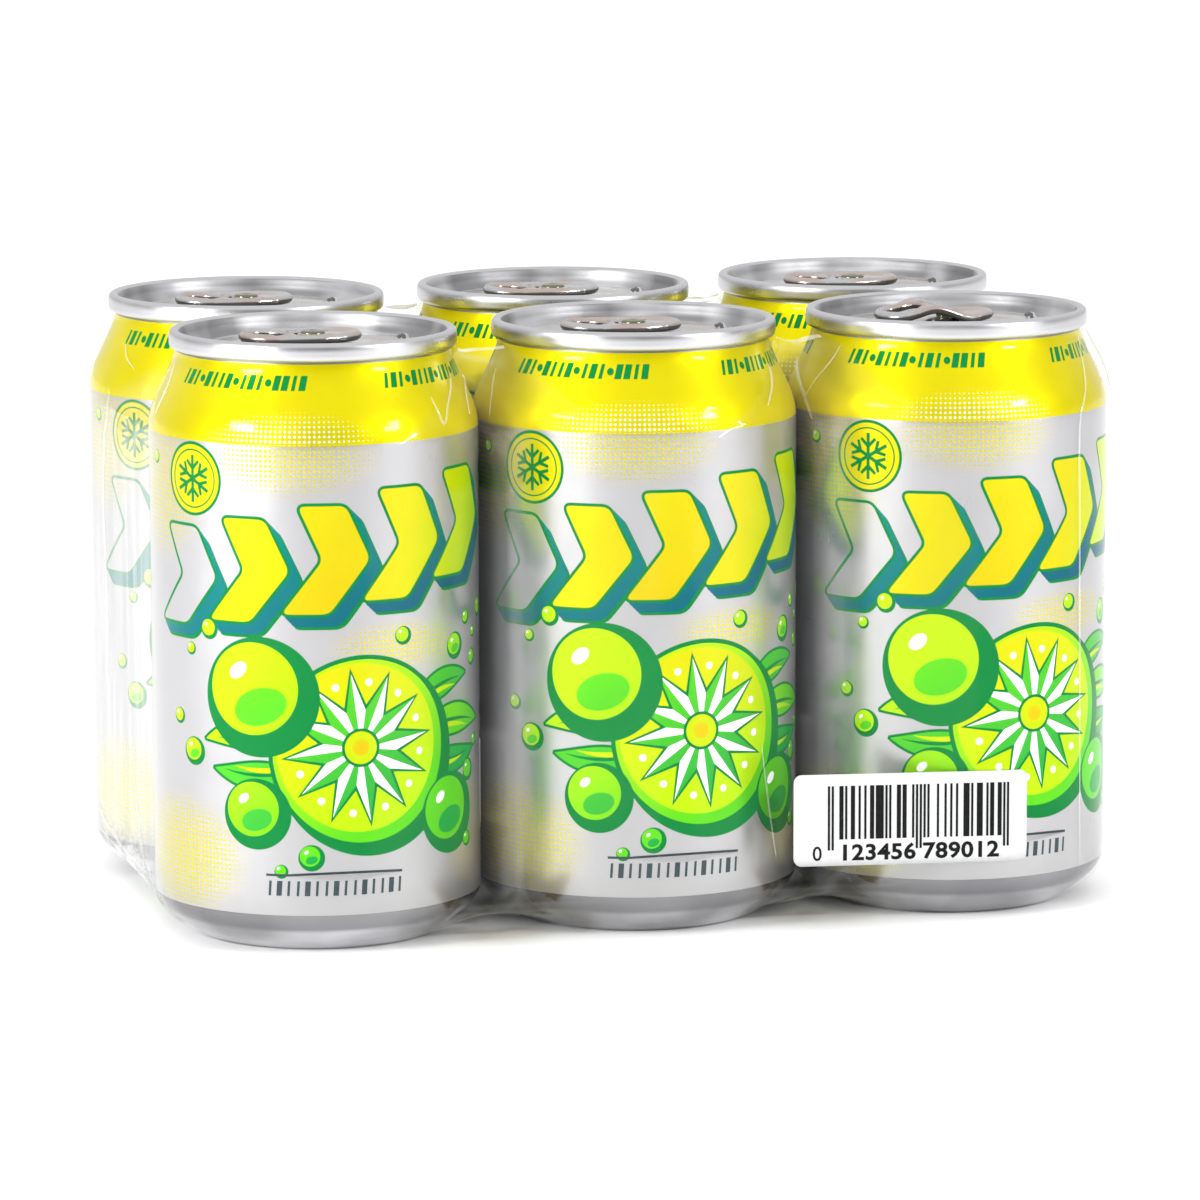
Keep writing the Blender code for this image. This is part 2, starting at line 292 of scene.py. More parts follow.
def bare_metal(name, col, rough, grain=(40.0, 40.0, 900.0), bump=0.12, warm=None, band=None, painted_reflection=0.0):
    """Bright rolled or drawn aluminium: fine lines along the drawing direction, faint smudges. The optional dark band
    with streaks and the optional dark smears are painted reflections.
    """
    mat, n, out = blank(name)
    obj = n.t.nodes.new("ShaderNodeTexCoord").outputs["Object"]
    p = principled(n, out)
    lines = n.noise(n.scaled(obj, grain), 1.0, 3.0, 0.6)
    smudge = n.noise(obj, 75.0, 4.0, 0.6)
    dark = tuple(c * 0.93 for c in col)
    c = n.mix(n.span(smudge, 0.35, 0.7, 0.0, 1.0), dark, col)
    if warm:
        c = n.mix(n.span(n.noise(obj, 95.0, 1.0, 0.4), 0.46, 0.58, 0.0, 0.8), c, warm)
    if painted_reflection:
        # painted reflections: dark smears in the colour stand in for the lid's own curves mirrored, drawn out in height
        reflection_smear = n.noise(n.scaled(obj, (85.0, 85.0, 22.0)), 1.0, 1.0, 0.5)
        c = n.mix(n.span(reflection_smear, 0.40, 0.60, painted_reflection, 0.0), c, tuple(v * 0.34 for v in col))
    # painted reflection: above the band's lower height the colour turns dark, and dark streaks run over the foot,
    # standing in for the shaded floor it mirrors
    if band:
        low, high, reflected_shade_tone = band
        sep = n.t.nodes.new("ShaderNodeSeparateXYZ")
        n.t.links.new(obj, sep.inputs[0])
        c = n.mix(n.span(sep.outputs[2], low * MM, high * MM, 0.0, 1.0), c, reflected_shade_tone)
        streak = n.noise(n.scaled(obj, (58.0, 58.0, 4.0)), 1.0, 1.0, 0.4)
        c = n.mix(n.span(streak, 0.36, 0.60, 0.0, 0.55), c, tuple(v * 0.62 for v in reflected_shade_tone))
    n.put(p, "Base Color", c)
    p.inputs["Metallic"].default_value = 1.0
    r = n.math("ADD", n.span(smudge, 0.3, 0.75, rough - 0.04, rough + 0.06), n.span(lines, 0.3, 0.7, -0.03, 0.03))
    n.put(p, "Roughness", r)
    if bump:
        n.put(p, "Normal", n.bump(lines, bump, 0.00015))
    return mat


# painted reflection: the foot is coloured dark above 5.4 mm, with dark streaks, as the shaded floor it mirrors
M_FOOT_REFLECTED = bare_metal("foot_metal_painted_reflection", (0.72, 0.72, 0.74), 0.16, band=(4.4, 5.4, (0.30, 0.295, 0.31)))
# painted shade: the bare neck just under the seam is coloured dark as the shade under the seam
M_NECK_SHADE = bare_metal("neck_painted_shade", (0.30, 0.30, 0.28), 0.35)
M_END = bare_metal("end_metal", (0.60, 0.60, 0.62), 0.30, grain=(60.0, 60.0, 900.0), bump=0.0)
# painted shade: near-black metal for the countersink groove and the button's near side
M_GROOVE_SHADE = bare_metal("groove_painted_shade", (0.16, 0.155, 0.15), 0.35)
# painted reflection: the chuck wall carries dark smears in its colour
M_WALL = bare_metal("end_wall_painted_reflection", (0.60, 0.60, 0.615), 0.52, grain=(90.0, 90.0, 700.0), bump=0.04, painted_reflection=0.75)
M_PANEL = bare_metal("panel_metal", (0.66, 0.655, 0.65), 0.27, grain=(30.0, 500.0, 30.0), bump=0.06, warm=(0.53, 0.49, 0.465))
M_TAB = bare_metal("tab_metal", (0.54, 0.54, 0.55), 0.20, grain=(300.0, 30.0, 30.0), bump=0.05, warm=(0.52, 0.41, 0.36))
# painted shade: the tab's underside is coloured near black as the shadow beneath the tab
M_UNDER_SHADE = bare_metal("tab_underside_painted_shade", (0.13, 0.13, 0.12), 0.40)
# painted reflection: the aluminium rivet is coloured dark olive as the dark greenish reflection it shows
M_RIVET_REFLECTION = bare_metal("rivet_painted_reflection", (0.22, 0.22, 0.15), 0.25)


# ---------------------------------------------------------------- profiles
def smooth_profile(points, step):
    """A smooth open curve through (r, z) points, sampled about every step mm. Returns points and outward normals."""
    p = np.array(points, float)
    chord = np.r_[0, np.cumsum(np.linalg.norm(np.diff(p, axis=0), axis=1))]
    tang = np.zeros_like(p)
    for i in range(len(p)):
        if i == 0:
            tang[i] = (p[1] - p[0]) / (chord[1] - chord[0])
        elif i == len(p) - 1:
            tang[i] = (p[-1] - p[-2]) / (chord[-1] - chord[-2])
        else:
            h0, h1 = chord[i] - chord[i - 1], chord[i + 1] - chord[i]
            tang[i] = ((p[i] - p[i - 1]) / h0 * h1 + (p[i + 1] - p[i]) / h1 * h0) / (h0 + h1)
    out, nrm, where = [], [], []
    for i in range(len(p) - 1):
        h = chord[i + 1] - chord[i]
        k = max(1, int(round(h / step)))
        for j in range(k + (i == len(p) - 2)):
            t = j / k
            a, b, c, d = 2 * t**3 - 3 * t**2 + 1, t**3 - 2 * t**2 + t, -2 * t**3 + 3 * t**2, t**3 - t**2
            out.append(a * p[i] + b * h * tang[i] + c * p[i + 1] + d * h * tang[i + 1])
            da, db, dc, dd = 6 * t * t - 6 * t, 3 * t * t - 4 * t + 1, -6 * t * t + 6 * t, 3 * t * t - 2 * t
            v = (da * p[i] + dc * p[i + 1]) / h + db * tang[i] + dd * tang[i + 1]
            v = v / np.linalg.norm(v)
            nrm.append((v[1], -v[0]))  # the curve runs upwards with the outside on its right
            where.append(chord[i] + t * h)
    return np.array(out), np.array(nrm), np.array(where)


WALL_LOW, WALL_TOP = 9.8, 100.5
NECK = [(33.1, 60.0), (33.1, 96.0), (33.1, WALL_TOP), (33.07, 102.3), (32.86, 104.3), (32.35, 106.3), (31.55, 108.3), (30.55, 110.4),
        (29.5, 112.6), (28.55, 114.7), (27.95, 116.2), (27.62, 117.4), (27.5, 118.2), (27.5, 118.9)]
FOOT = [(0.0, 10.0), (5.0, 9.75), (10.0, 9.0), (14.0, 7.9), (18.0, 6.1), (20.6, 4.1), (22.0, 2.3), (22.8, 0.75), (23.7, 0.05), (24.6, 0.12),
        (25.5, 0.65), (26.9, 1.75), (29.0, 3.35), (30.9, 4.9), (32.1, 6.25), (32.8, 7.6), (33.05, 8.7), (33.1, WALL_LOW), (33.1, 14.0), (33.1, 60.0)]
neck_pts, neck_nrm, neck_s = smooth_profile(NECK, 0.4)
foot_pts, foot_nrm, foot_s = smooth_profile(FOOT, 0.4)
neck_s = neck_s + 60.0                      # s equals z on the straight wall
foot_s = foot_s - foot_s[-1] + 60.0
PRO_S = np.r_[foot_s[:-1], neck_s]
PRO_P = np.r_[foot_pts[:-1], neck_pts]
PRO_N = np.r_[foot_nrm[:-1], neck_nrm]


def profile_at(s):
    r = np.interp(s, PRO_S, PRO_P[:, 0])
    z = np.interp(s, PRO_S, PRO_P[:, 1])
    nr = np.interp(s, PRO_S, PRO_N[:, 0])
    nz = np.interp(s, PRO_S, PRO_N[:, 1])
    k = np.hypot(nr, nz)
    return r, z, nr / k, nz / k


def s_of_z(z):
    up_part = PRO_S > 5.0
    return float(np.interp(z, PRO_P[up_part, 1], PRO_S[up_part]))


S_LOW, S_BAND, S_TOP = s_of_z(PRINT_LOW), s_of_z(BAND_LOW), float(PRO_S[-1])


# ---------------------------------------------------------------- flat shapes of the print, in label millimetres
def circle(cx, cy, r, n=None, ry=None, turn=0.0):
    n = n or max(12, int(round(TAU * r / 0.8)))
    ry = ry or r
    c, s = math.cos(turn), math.sin(turn)
    return [(cx + r * math.cos(TAU * i / n) * c - ry * math.sin(TAU * i / n) * s,
             cy + r * math.cos(TAU * i / n) * s + ry * math.sin(TAU * i / n) * c) for i in range(n)]


def sector(cx, cy, r0, r1, a0, a1, n=10):
    outer = [(cx + r1 * math.cos(a0 + (a1 - a0) * i / n), cy + r1 * math.sin(a0 + (a1 - a0) * i / n)) for i in range(n + 1)]
    inner = [(cx + r0 * math.cos(a1 + (a0 - a1) * i / n), cy + r0 * math.sin(a1 + (a0 - a1) * i / n)) for i in range(n + 1)]
    return outer + inner


def star(cx, cy, r_out, r_in, n, turn=0.0):
    return [(cx + (r_out if i % 2 == 0 else r_in) * math.cos(turn + PI * i / n),
             cy + (r_out if i % 2 == 0 else r_in) * math.sin(turn + PI * i / n)) for i in range(2 * n)]


def grown(poly, d):
    """The polygon with each corner moved outwards by d along its mitre."""
    p = [Vector(q) for q in poly]
    area = sum(p[i - 1].x * p[i].y - p[i].x * p[i - 1].y for i in range(len(p)))
    sign = 1.0 if area > 0 else -1.0
    out = []
    for i in range(len(p)):
        a, b, c = p[i - 1], p[i], p[(i + 1) % len(p)]
        e0, e1 = (b - a), (c - b)
        if e0.length < 1e-9 or e1.length < 1e-9:
            out.append(tuple(b))
            continue
        n0 = Vector((e0.y, -e0.x)).normalized() * sign
        n1 = Vector((e1.y, -e1.x)).normalized() * sign
        k = n0 + n1
        if k.length < 1e-6:
            k = n0
        k = k.normalized()
        out.append(tuple(b + k * (d / max(0.45, k.dot(n0)))))
    return out


def ribbon(centre, width, t0=0.0, t1=1.0, n=90, lift=0.0):
    """A closed band along centre(t), width(t) wide, shifted sideways by lift times the half width."""
    left, rite = [], []
    for i in range(n + 1):
        t = t0 + (t1 - t0) * i / n
        e = 1e-3
        a, b = Vector(centre(t - e)), Vector(centre(t + e))
        d = (b - a).normalized()
        nrm = Vector((-d.y, d.x))
        c = Vector(centre(t))
        w0, w1 = width(t)
        left.append(tuple(c + nrm * w1))
        rite.append(tuple(c + nrm * w0))
    return left + rite[::-1]


def blade(x, y, angle, length, width, bend, n=22):
    """A pointed curved blade that starts at x, y."""
    def centre(t):
        a = angle + bend * t
        k = length / max(1e-6, abs(bend)) if abs(bend) > 1e-3 else 0
        if k:
            sg = 1 if bend > 0 else -1
            return (x + sg * k * (math.sin(a) - math.sin(angle)), y - sg * k * (math.cos(a) - math.cos(angle)))
        return (x + length * t * math.cos(angle), y + length * t * math.sin(angle))

    def w(t):
        v = width * 0.5 * (math.sin(PI * min(1, max(0, t)) ** 0.8) ** 0.9 if 0 < t < 1 else 0.0) + 0.02
        return (-v, v)
    return ribbon(centre, w, 0.0, 1.0, n)


def rounded(poly, r, n=5):
    """The polygon with each corner rounded off to about r."""
    out = []
    k = len(poly)
    for i in range(k):
        a, b, c = Vector(poly[i - 1]), Vector(poly[i]), Vector(poly[(i + 1) % k])
        d0, d1 = (a - b), (c - b)
        q = min(r, 0.45 * d0.length, 0.45 * d1.length)
        p0, p1 = b + d0.normalized() * q, b + d1.normalized() * q
        for j in range(n + 1):
            t = j / n
            out.append(tuple(p0 * (1 - t) ** 2 + b * 2 * t * (1 - t) + p1 * t * t))
    return out


def dense(poly, step=1.2):
    """The polygon with points added along its longer edges, so that it follows the can's curve."""
    out = []
    for i in range(len(poly)):
        a, b = Vector(poly[i]), Vector(poly[(i + 1) % len(poly)])
        k = max(1, int((b - a).length / step))
        out += [tuple(a + (b - a) * (j / k)) for j in range(k)]
    return out


def chevron(x, y, high, thick, depth, lean):
    """A bold chevron that points right; x, y is the middle of its back."""
    h = high / 2
    pts = [(0, h), (thick, h), (thick + depth, 0), (thick, -h), (0, -h), (depth, 0)]
    return dense(rounded([(x + px + lean * py, y + py) for px, py in pts], 1.5))


def shifted(poly, dx, dy):
    return [(x + dx, y + dy) for x, y in poly]


def bubble(layers, x, y, r, fill="green", rim="forest"):
    layers.append((circle(x + r * 0.10, y - r * 0.10, r * 1.12), rim))
    layers.append((circle(x - r * 0.04, y + r * 0.05, r * 0.86), fill))
    if r > 2.2:
        layers.append((circle(x + 0.10 * r, y - 0.28 * r, r * 0.52, ry=r * 0.34, turn=0.3), "leaf"))
    layers.append((circle(x - r * 0.33, y + r * 0.38, max(0.35, r * 0.20), ry=max(0.3, r * 0.13), turn=0.7), "white"))


def design():
    """One face of the label, about 90 mm wide, centred on u = 0. Later shapes cover earlier ones."""
    L = []
    # five bold leaning chevrons that climb across the face, each with its cast shadow
    for k, (x, y, high, fill) in enumerate(((-40.0, 75.6, 19.5, "silver"), (-24.5, 77.6, 20.5, "yellow"), (-8.6, 79.9, 21.5, "amber"), (7.6, 82.6, 22.0, "lime2"), (23.8, 85.4, 21.0, "lime2"))):
        body = chevron(x, y, high, 9.0 + 0.25 * k, 6.6, 0.16)
        for d in (2.5, 1.9, 1.3, 0.7):
            L.append((grown(shifted(body, d, -d), 0.62), "teal" if d < 2.4 else "forest"))
        L.append((grown(body, 0.62), "forest"))
        L.append((body, fill))
    # spray over the crests
    for x, y, r in ((-44.5, 98.0, 1.3), (41.5, 66.5, 1.9), (37.5, 62.0, 1.1), (45.0, 70.8, 0.9)):
        bubble(L, x, y, r)
    # small round badge with a six-armed crystal
    bx, by = -30.4, 95.0
    L.append((circle(bx, by, 7.4), "forest"))
    L.append((circle(bx, by, 6.8), "amber"))
    L.append((circle(bx, by, 5.9), "forest"))
    L.append((circle(bx, by, 5.6), "yellow"))
    for k in range(6):
        a = PI / 6 + k * PI / 3
        c, s = math.cos(a), math.sin(a)
        arm = [(0.0, -0.36), (4.7, -0.36), (4.7, 0.36), (0.0, 0.36)]
        L.append(([(bx + x * c - y * s, by + x * s + y * c) for x, y in arm], "forest"))
        for side in (1, -1):
            twig = [(2.5, 0.0), (3.8, side * 1.4), (3.35, side * 1.85), (1.9, side * 0.4)]
            L.append(([(bx + x * c - y * s, by + x * s + y * c) for x, y in twig], "forest"))
    # sprigs of long blades behind the medallion
    cx, cy, R = 6.0, 41.5, 18.4
    for a, l, w, b in ((2.55, 17, 5.4, 0.7), (2.95, 19, 6.0, 0.5), (3.40, 17, 5.2, -0.5), (0.62, 16, 5.2, -0.7), (0.22, 19, 6.0, -0.5), (-0.22, 16.5, 5.0, 0.5)):
        x0, y0 = cx + (R - 3.5) * math.cos(a), cy + (R - 3.5) * math.sin(a)
        leaf = blade(x0, y0, a, l, w, b)
        L.append((grown(leaf, 0.55), "forest"))
        L.append((leaf, "leaf" if abs(a - 2.95) > 0.1 and abs(a - 0.22) > 0.1 else "green"))
        L.append((blade(x0, y0, a, l * 0.86, 0.7, b), "forest"))
        L.append((blade(x0 + 0.8 * math.sin(a), y0 - 0.8 * math.cos(a), a, l * 0.7, 1.0, b), "lime"))
    # medallion: a faceted twelve-point star on a lime disc
    L.append((circle(cx + 1.6, cy - 1.6, R + 1.2), "forest"))
    L.append((circle(cx, cy, R + 0.9), "forest"))
    L.append((circle(cx, cy, R), "green"))
    L.append((circle(cx - 0.7, cy + 0.7, R - 1.5), "lime"))
    n = 12
    ax, ay = cx - 0.7, cy + 0.7
    ro, ri = R - 3.4, 7.6
    rim = star(ax, ay, ro, ri, n, 0.13)
    L.append((grown(rim, 0.55), "forest"))
    tips = [rim[2 * k] for k in range(n)]
    dips = [rim[2 * k + 1] for k in range(n)]
    for k in range(n):
        L.append(([(ax, ay), dips[k - 1], tips[k]], "white"))
        L.append(([(ax, ay), tips[k], dips[k]], "leaf"))
    for k in range(n):
        a = TAU * (k + 0.5) / n + 0.13
        L.append((circle(ax + 13.2 * math.cos(a), ay + 13.2 * math.sin(a), 0.75, 12), "white"))
    L.append((circle(ax, ay, 3.9), "forest"))
    L.append((circle(ax, ay, 3.3), "lime"))
    L.append((circle(ax, ay, 1.7), "amber"))
    # two big bubbles over the medallion's edge and a rising trail of small ones
    bubble(L, cx - 22.0, cy + 12.0, 10.8)
    bubble(L, cx - 22.5, cy - 12.0, 6.4)
    bubble(L, cx + 20.5, cy - 14.0, 7.4)
    for x, y, r in ((-31.0, 40.5, 2.6), (-35.5, 47.0, 1.5), (-26.5, 65.5, 1.9), (-31.5, 61.0, 1.2), (-5.0, 20.5, 2.4), (-11.0, 17.6, 1.3), (34.2, 34.5, 2.1),
                    (37.8, 40.0, 1.3), (33.5, 20.5, 1.5), (29.0, 60.5, 2.5), (33.6, 65.5, 1.4), (36.6, 57.0, 1.6), (14.5, 64.2, 1.7)):
        bubble(L, x, y, r)
    # thin rule and a row of ticks at the foot
    L.append(([(-14, 16.5), (14, 16.5), (14, 17.0), (-14, 17.0)], "slate"))
    for k in range(-7, 8):
        w = 0.26 if k % 3 else 0.55
        L.append(([(k * 1.9 - w, 12.6), (k * 1.9 + w, 12.6), (k * 1.9 + w + 0.2, 15.6), (k * 1.9 - w + 0.2, 15.6)], "slate"))
    return L


def neck_row(layers, centre):
    """A row of small leaning bars and dots round the neck."""
    s, high, step = S_BAND + 12.7, 1.55, 2.02
    x = centre - 8 * step
    for w in (0.42, 0.78, 0.42, 0.0, 0.78, 0.42, 0.42, 0.78, 0.0, 0.42, 0.78, 0.42, 0.0, 0.78, 0.78, 0.42, 0.78):
        if w == 0.0:
            layers.append((circle(x, s, 0.8, 14), "forest"))
        else:
            layers.append(([(x - w - 0.3, s - high), (x + w - 0.3, s - high), (x + w + 0.3, s + high), (x - w + 0.3, s + high)], "forest"))
        x += step


def side_panel(layers, c):
    """The plain panel between the two faces: a framed table of rules and a block of bars."""
    def box(x0, y0, x1, y1, k):
        layers.append(([(c + x0, y0), (c + x1, y0), (c + x1, y1), (c + x0, y1)], k))
    box(-8.0, 44.0, 8.0, 94.0, "teal")
    box(-7.5, 44.5, 7.5, 93.5, "silver")
    box(-7.5, 88.0, 7.5, 93.5, "forest")
    for k in range(12):
        y = 47.5 + k * 3.3
        box(-6.4, y, 6.4, y + 0.35, "teal")
        box(-6.4, y + 1.1, -6.4 + 4.0 + 2.6 * ((k * 7) % 3), y + 2.3, "slate")
        box(3.2, y + 1.1, 6.2, y + 2.3, "slate")
    box(-8.0, 20.0, 8.0, 39.0, "white")
    x, k = -7.0, 0
    widths = (3, 1, 1, 2, 1, 3, 2, 1, 1, 1, 3, 2, 1, 2, 1, 1, 2, 3, 1, 1, 2, 1, 1, 3, 1, 2, 2, 1, 1, 2, 1, 3, 1, 1, 2, 1)
    while x < 6.6:
        w = 0.21 * widths[k % len(widths)]
        if k % 2 == 0:
            box(x, 22.0, min(7.0, x + w), 37.4, "slate")
        x += w
        k += 1


def print_layers():
    L = []
    for c in (0.0, DESIGN):
        L += [(shifted(p, c, 0.0), k) for p, k in design()]
    side_panel(L, DESIGN / 2)
    for k in range(4):
        neck_row(L, -22.0 + k * DESIGN / 2)
    return L


S_RING = S_TOP - 0.92                # above this the neck is bare metal painted dark, a painted shade tucked under the seam
U0, U1 = -DESIGN / 2, DESIGN * 1.5   # once round
FULL = TAU * BODY_R                  # true length round the wall, close to U1 - U0


def print_mesh():
    cols = 126
    verts, edges = [], []
    rows = list(np.linspace(S_LOW, 96.0, 19)) + list(np.linspace(97.0, S_BAND, 6)) + list(np.linspace(S_BAND + 0.85, S_RING - 0.5, 21)) + list((S_TOP,))
    us = [U0 + (U1 - U0) * i / cols for i in range(cols + 1)]
    for j, s in enumerate(rows):
        for i, u in enumerate(us):
            o = 0.0 if j % 2 == 0 or i in (0, cols) else 0.5 * (U1 - U0) / cols
            if i == cols - 1 and j % 2:
                o = 0.25 * (U1 - U0) / cols
            verts.append(Vector((u + o, s)))

    def ring(points):
        base = len(verts)
        verts.extend(Vector(q) for q in points)
        k = len(points)
        edges.extend((base + i, base + (i + 1) % k) for i in range(k))

    def clipped(poly):
        return [(min(U1 - 0.02, max(U0 + 0.02, x)), min(S_TOP - 0.01, max(S_LOW + 0.01, y))) for x, y in poly]

    layers = [(clipped(p), k) for p, k in print_layers()]
    ring([(u, S_LOW) for u in us] + [(u, S_TOP) for u in us[::-1]])
    for level in (S_BAND, S_RING):
        base = len(verts)
        verts.extend(Vector((u, level)) for u in us)
        edges.extend((base + i, base + i + 1) for i in range(cols))
    for poly, kind in layers:
        ring(poly)
    v, e, f, _, _, _ = geometry.delaunay_2d_cdt(verts, edges, [], 0, 1e-4, False)
    uv = np.array([(q.x, q.y) for q in v])
    tri = np.array([t for t in f if len(t) == 3])
    a, b, c = uv[tri[:, 0]], uv[tri[:, 1]], uv[tri[:, 2]]
    area = (b[:, 0] - a[:, 0]) * (c[:, 1] - a[:, 1]) - (b[:, 1] - a[:, 1]) * (c[:, 0] - a[:, 0])
    good = np.abs(area) > 1e-7
    tri, mid = tri[good], ((a + b + c) / 3)[good]
    mats = np.where(mid[:, 1] > S_BAND, INK_NAMES.index("yellow"), INK_NAMES.index("silver"))
    top = mid[:, 1] > S_RING
    for poly, kind in layers:
        mats[inside(np.array(poly), mid)] = INK_NAMES.index(kind)
    # painted shade: the bare neck under the seam takes the dark neck colour
    mats[top] = len(INK_NAMES) + 1
    return uv, [list(map(int, t)) for t in tri], [int(k) for k in mats]


def inside(poly, pts):
    """Which points lie in the polygon, by winding number, so that a shape that crosses itself is still filled."""
    lo, hi = poly.min(0), poly.max(0)
    near = np.nonzero((pts[:, 0] > lo[0]) & (pts[:, 0] < hi[0]) & (pts[:, 1] > lo[1]) & (pts[:, 1] < hi[1]))[0]
    x, y = pts[near, 0], pts[near, 1]
    wind = np.zeros(len(near), int)
    for (ax, ay), (bx, by) in zip(poly, np.roll(poly, -1, 0)):
        side = (bx - ax) * (y - ay) - (x - ax) * (by - ay)
        wind += ((ay <= y) & (by > y) & (side > 0)).astype(int) - ((ay > y) & (by <= y) & (side < 0)).astype(int)
    return near[wind != 0]


def revolve_points(r, z, nr, nz, ang):
    """Angle 0 faces the front (-Y) and grows towards +X."""
    s, c = np.sin(ang), np.cos(ang)
    return np.stack([r * s, -r * c, z], -1), np.stack([nr * s, -nr * c, nz], -1)


def mesh_from(name, verts, faces, mats, materials, normals=None, uvs=None):
    me = bpy.data.meshes.new(name)
    me.from_pydata([tuple(v) for v in verts], [], faces)
    for mt in materials:
        me.materials.append(mt)
    if mats is not None:
        me.polygons.foreach_set("material_index", mats)
    me.polygons.foreach_set("use_smooth", [True] * len(me.polygons))
    if uvs is not None:
        lay = me.uv_layers.new(name="label")
        lay.data.foreach_set("uv", np.asarray(uvs, float).reshape(-1))
    me.update()
    if normals is not None:
        me.normals_split_custom_set_from_vertices([tuple(n) for n in normals])
    me.update()
    return me


def can_body_mesh():
    uv, tris, mats = print_mesh()
    r, z, nr, nz = profile_at(uv[:, 1])
    ang = (uv[:, 0] - 0.0) / (U1 - U0) * TAU
    pos, nrm = revolve_points(r, z, nr, nz, ang)
    faces = [list(t) for t in tris]
    mats = list(mats)
    # outward winding
    for k, t in enumerate(faces):
        a, b, c = pos[t[0]], pos[t[1]], pos[t[2]]
        if np.dot(np.cross(b - a, c - a), nrm[t[0]]) < 0:
            faces[k] = t[::-1]
    verts = [tuple(p) for p in pos]
    normals = [tuple(p) for p in nrm]
    loops = []
    local = uv.copy()
    for t in faces:
        cu = sum(uv[i][0] for i in t) / len(t)
        off = DESIGN if cu > DESIGN / 2 else 0.0
        for i in t:
            loops.append(((local[i][0] - off) / 100.0, local[i][1] / 100.0))
    # bare metal foot: rings from the dome's centre to the print's lower edge
    cols = 126
    ring_s = [q for q in PRO_S if q < S_LOW - 0.05 and q > PRO_S[0] + 0.05] + [S_LOW]
    rr, rz, rnr, rnz = profile_at(np.array(ring_s))
    base = len(verts)
    for k in range(len(ring_s)):
        a = (U0 + (U1 - U0) * np.arange(cols) / cols) / (U1 - U0) * TAU
        p, q = revolve_points(np.full(cols, rr[k]), np.full(cols, rz[k]), np.full(cols, rnr[k]), np.full(cols, rnz[k]), a)
        verts += [tuple(v) for v in p]
        normals += [tuple(v) for v in q]
    metal = len(INK_NAMES)
    for k in range(len(ring_s) - 1):
        for i in range(cols):
            j = (i + 1) % cols
            faces.append([base + k * cols + i, base + k * cols + j, base + (k + 1) * cols + j, base + (k + 1) * cols + i])
            mats.append(metal)
            loops += [(0.0, 0.0)] * 4
    verts.append((0.0, 0.0, float(PRO_P[0][1])))
    normals.append((0.0, 0.0, -1.0))
    tip = len(verts) - 1
    for i in range(cols):
        faces.append([tip, base + (i + 1) % cols, base + i])
        mats.append(metal)
        loops += [(0.0, 0.0)] * 3
    # weld the seam line and the print to the foot
    pts = np.round(np.array(verts), 4)
    key = {}
    new_index, keep = np.zeros(len(pts), int), []
    for i, p in enumerate(map(tuple, pts)):
        if p not in key:
            key[p] = len(keep)
            keep.append(i)
        new_index[i] = key[p]
    out_faces, out_mats, out_loops = [], [], []
    at = 0
    for f, mt in zip(faces, mats):
        g = [int(new_index[i]) for i in f]
        lp = loops[at:at + len(f)]
        at += len(f)
        if len(set(g)) < len(g):
            continue
        out_faces.append(g)
        out_mats.append(mt)
        out_loops += lp
    v = np.array([verts[i] for i in keep]) * MM
    n = np.array([normals[i] for i in keep])
    return mesh_from("can_body", v, out_faces, out_mats, [M_INKS[k] for k in INK_NAMES] + [M_FOOT_REFLECTED, M_NECK_SHADE], n, out_loops)


def link(name, me):
    ob = bpy.data.objects.new(name, me)
    SCENE.collection.objects.link(ob)
    return ob


def turned(me, deg, at):
    """A copy of the mesh turned about Z and moved to the can's place; custom normals turn with it."""
    new = me.copy()
    a = math.radians(deg)
    rot = Matrix.Rotation(a, 4, "Z")
    nrm = np.zeros(len(new.loops) * 3, dtype=np.float32)
    new.corner_normals.foreach_get("vector", nrm)
    nrm = nrm.reshape(-1, 3) @ np.array(rot.to_3x3()).T
    new.transform(Matrix.Translation((at[0] * MM, at[1] * MM, 0)) @ rot)
    new.normals_split_custom_set(nrm.tolist())
    new.update()
    return new


body_proto = can_body_mesh()
for key, at in CANS.items():
    ob = link(f"can_{key}_body_print", turned(body_proto, TURN[key], at))
    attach(ob, "root")
    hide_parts(f"can_{key}_body")


# ---------------------------------------------------------------- can ends
END = [(0.0, 119.12), (8.0, 119.06), (15.0, 118.92), (20.2, 118.74), (21.2, 118.78), (21.9, 118.92), (22.45, 118.78), (22.8, 118.2), (22.98, 117.0), (23.12, 115.9),
       (23.4, 115.35), (23.8, 115.2), (24.2, 115.4), (24.5, 116.1), (24.95, 117.4), (25.6, 118.6), (26.2, 119.35), (26.5, 120.0), (26.62, 120.8), (26.8, 121.5), (27.1, 121.95),
       (27.5, 122.17), (28.0, 122.2), (28.45, 122.05), (28.78, 121.65), (28.9, 121.0), (28.9, 119.9), (28.86, 119.2), (28.66, 118.75), (28.2, 118.55), (27.75, 118.6), (27.5, 118.9)]


DIMPLE = (19.4, 3.6)


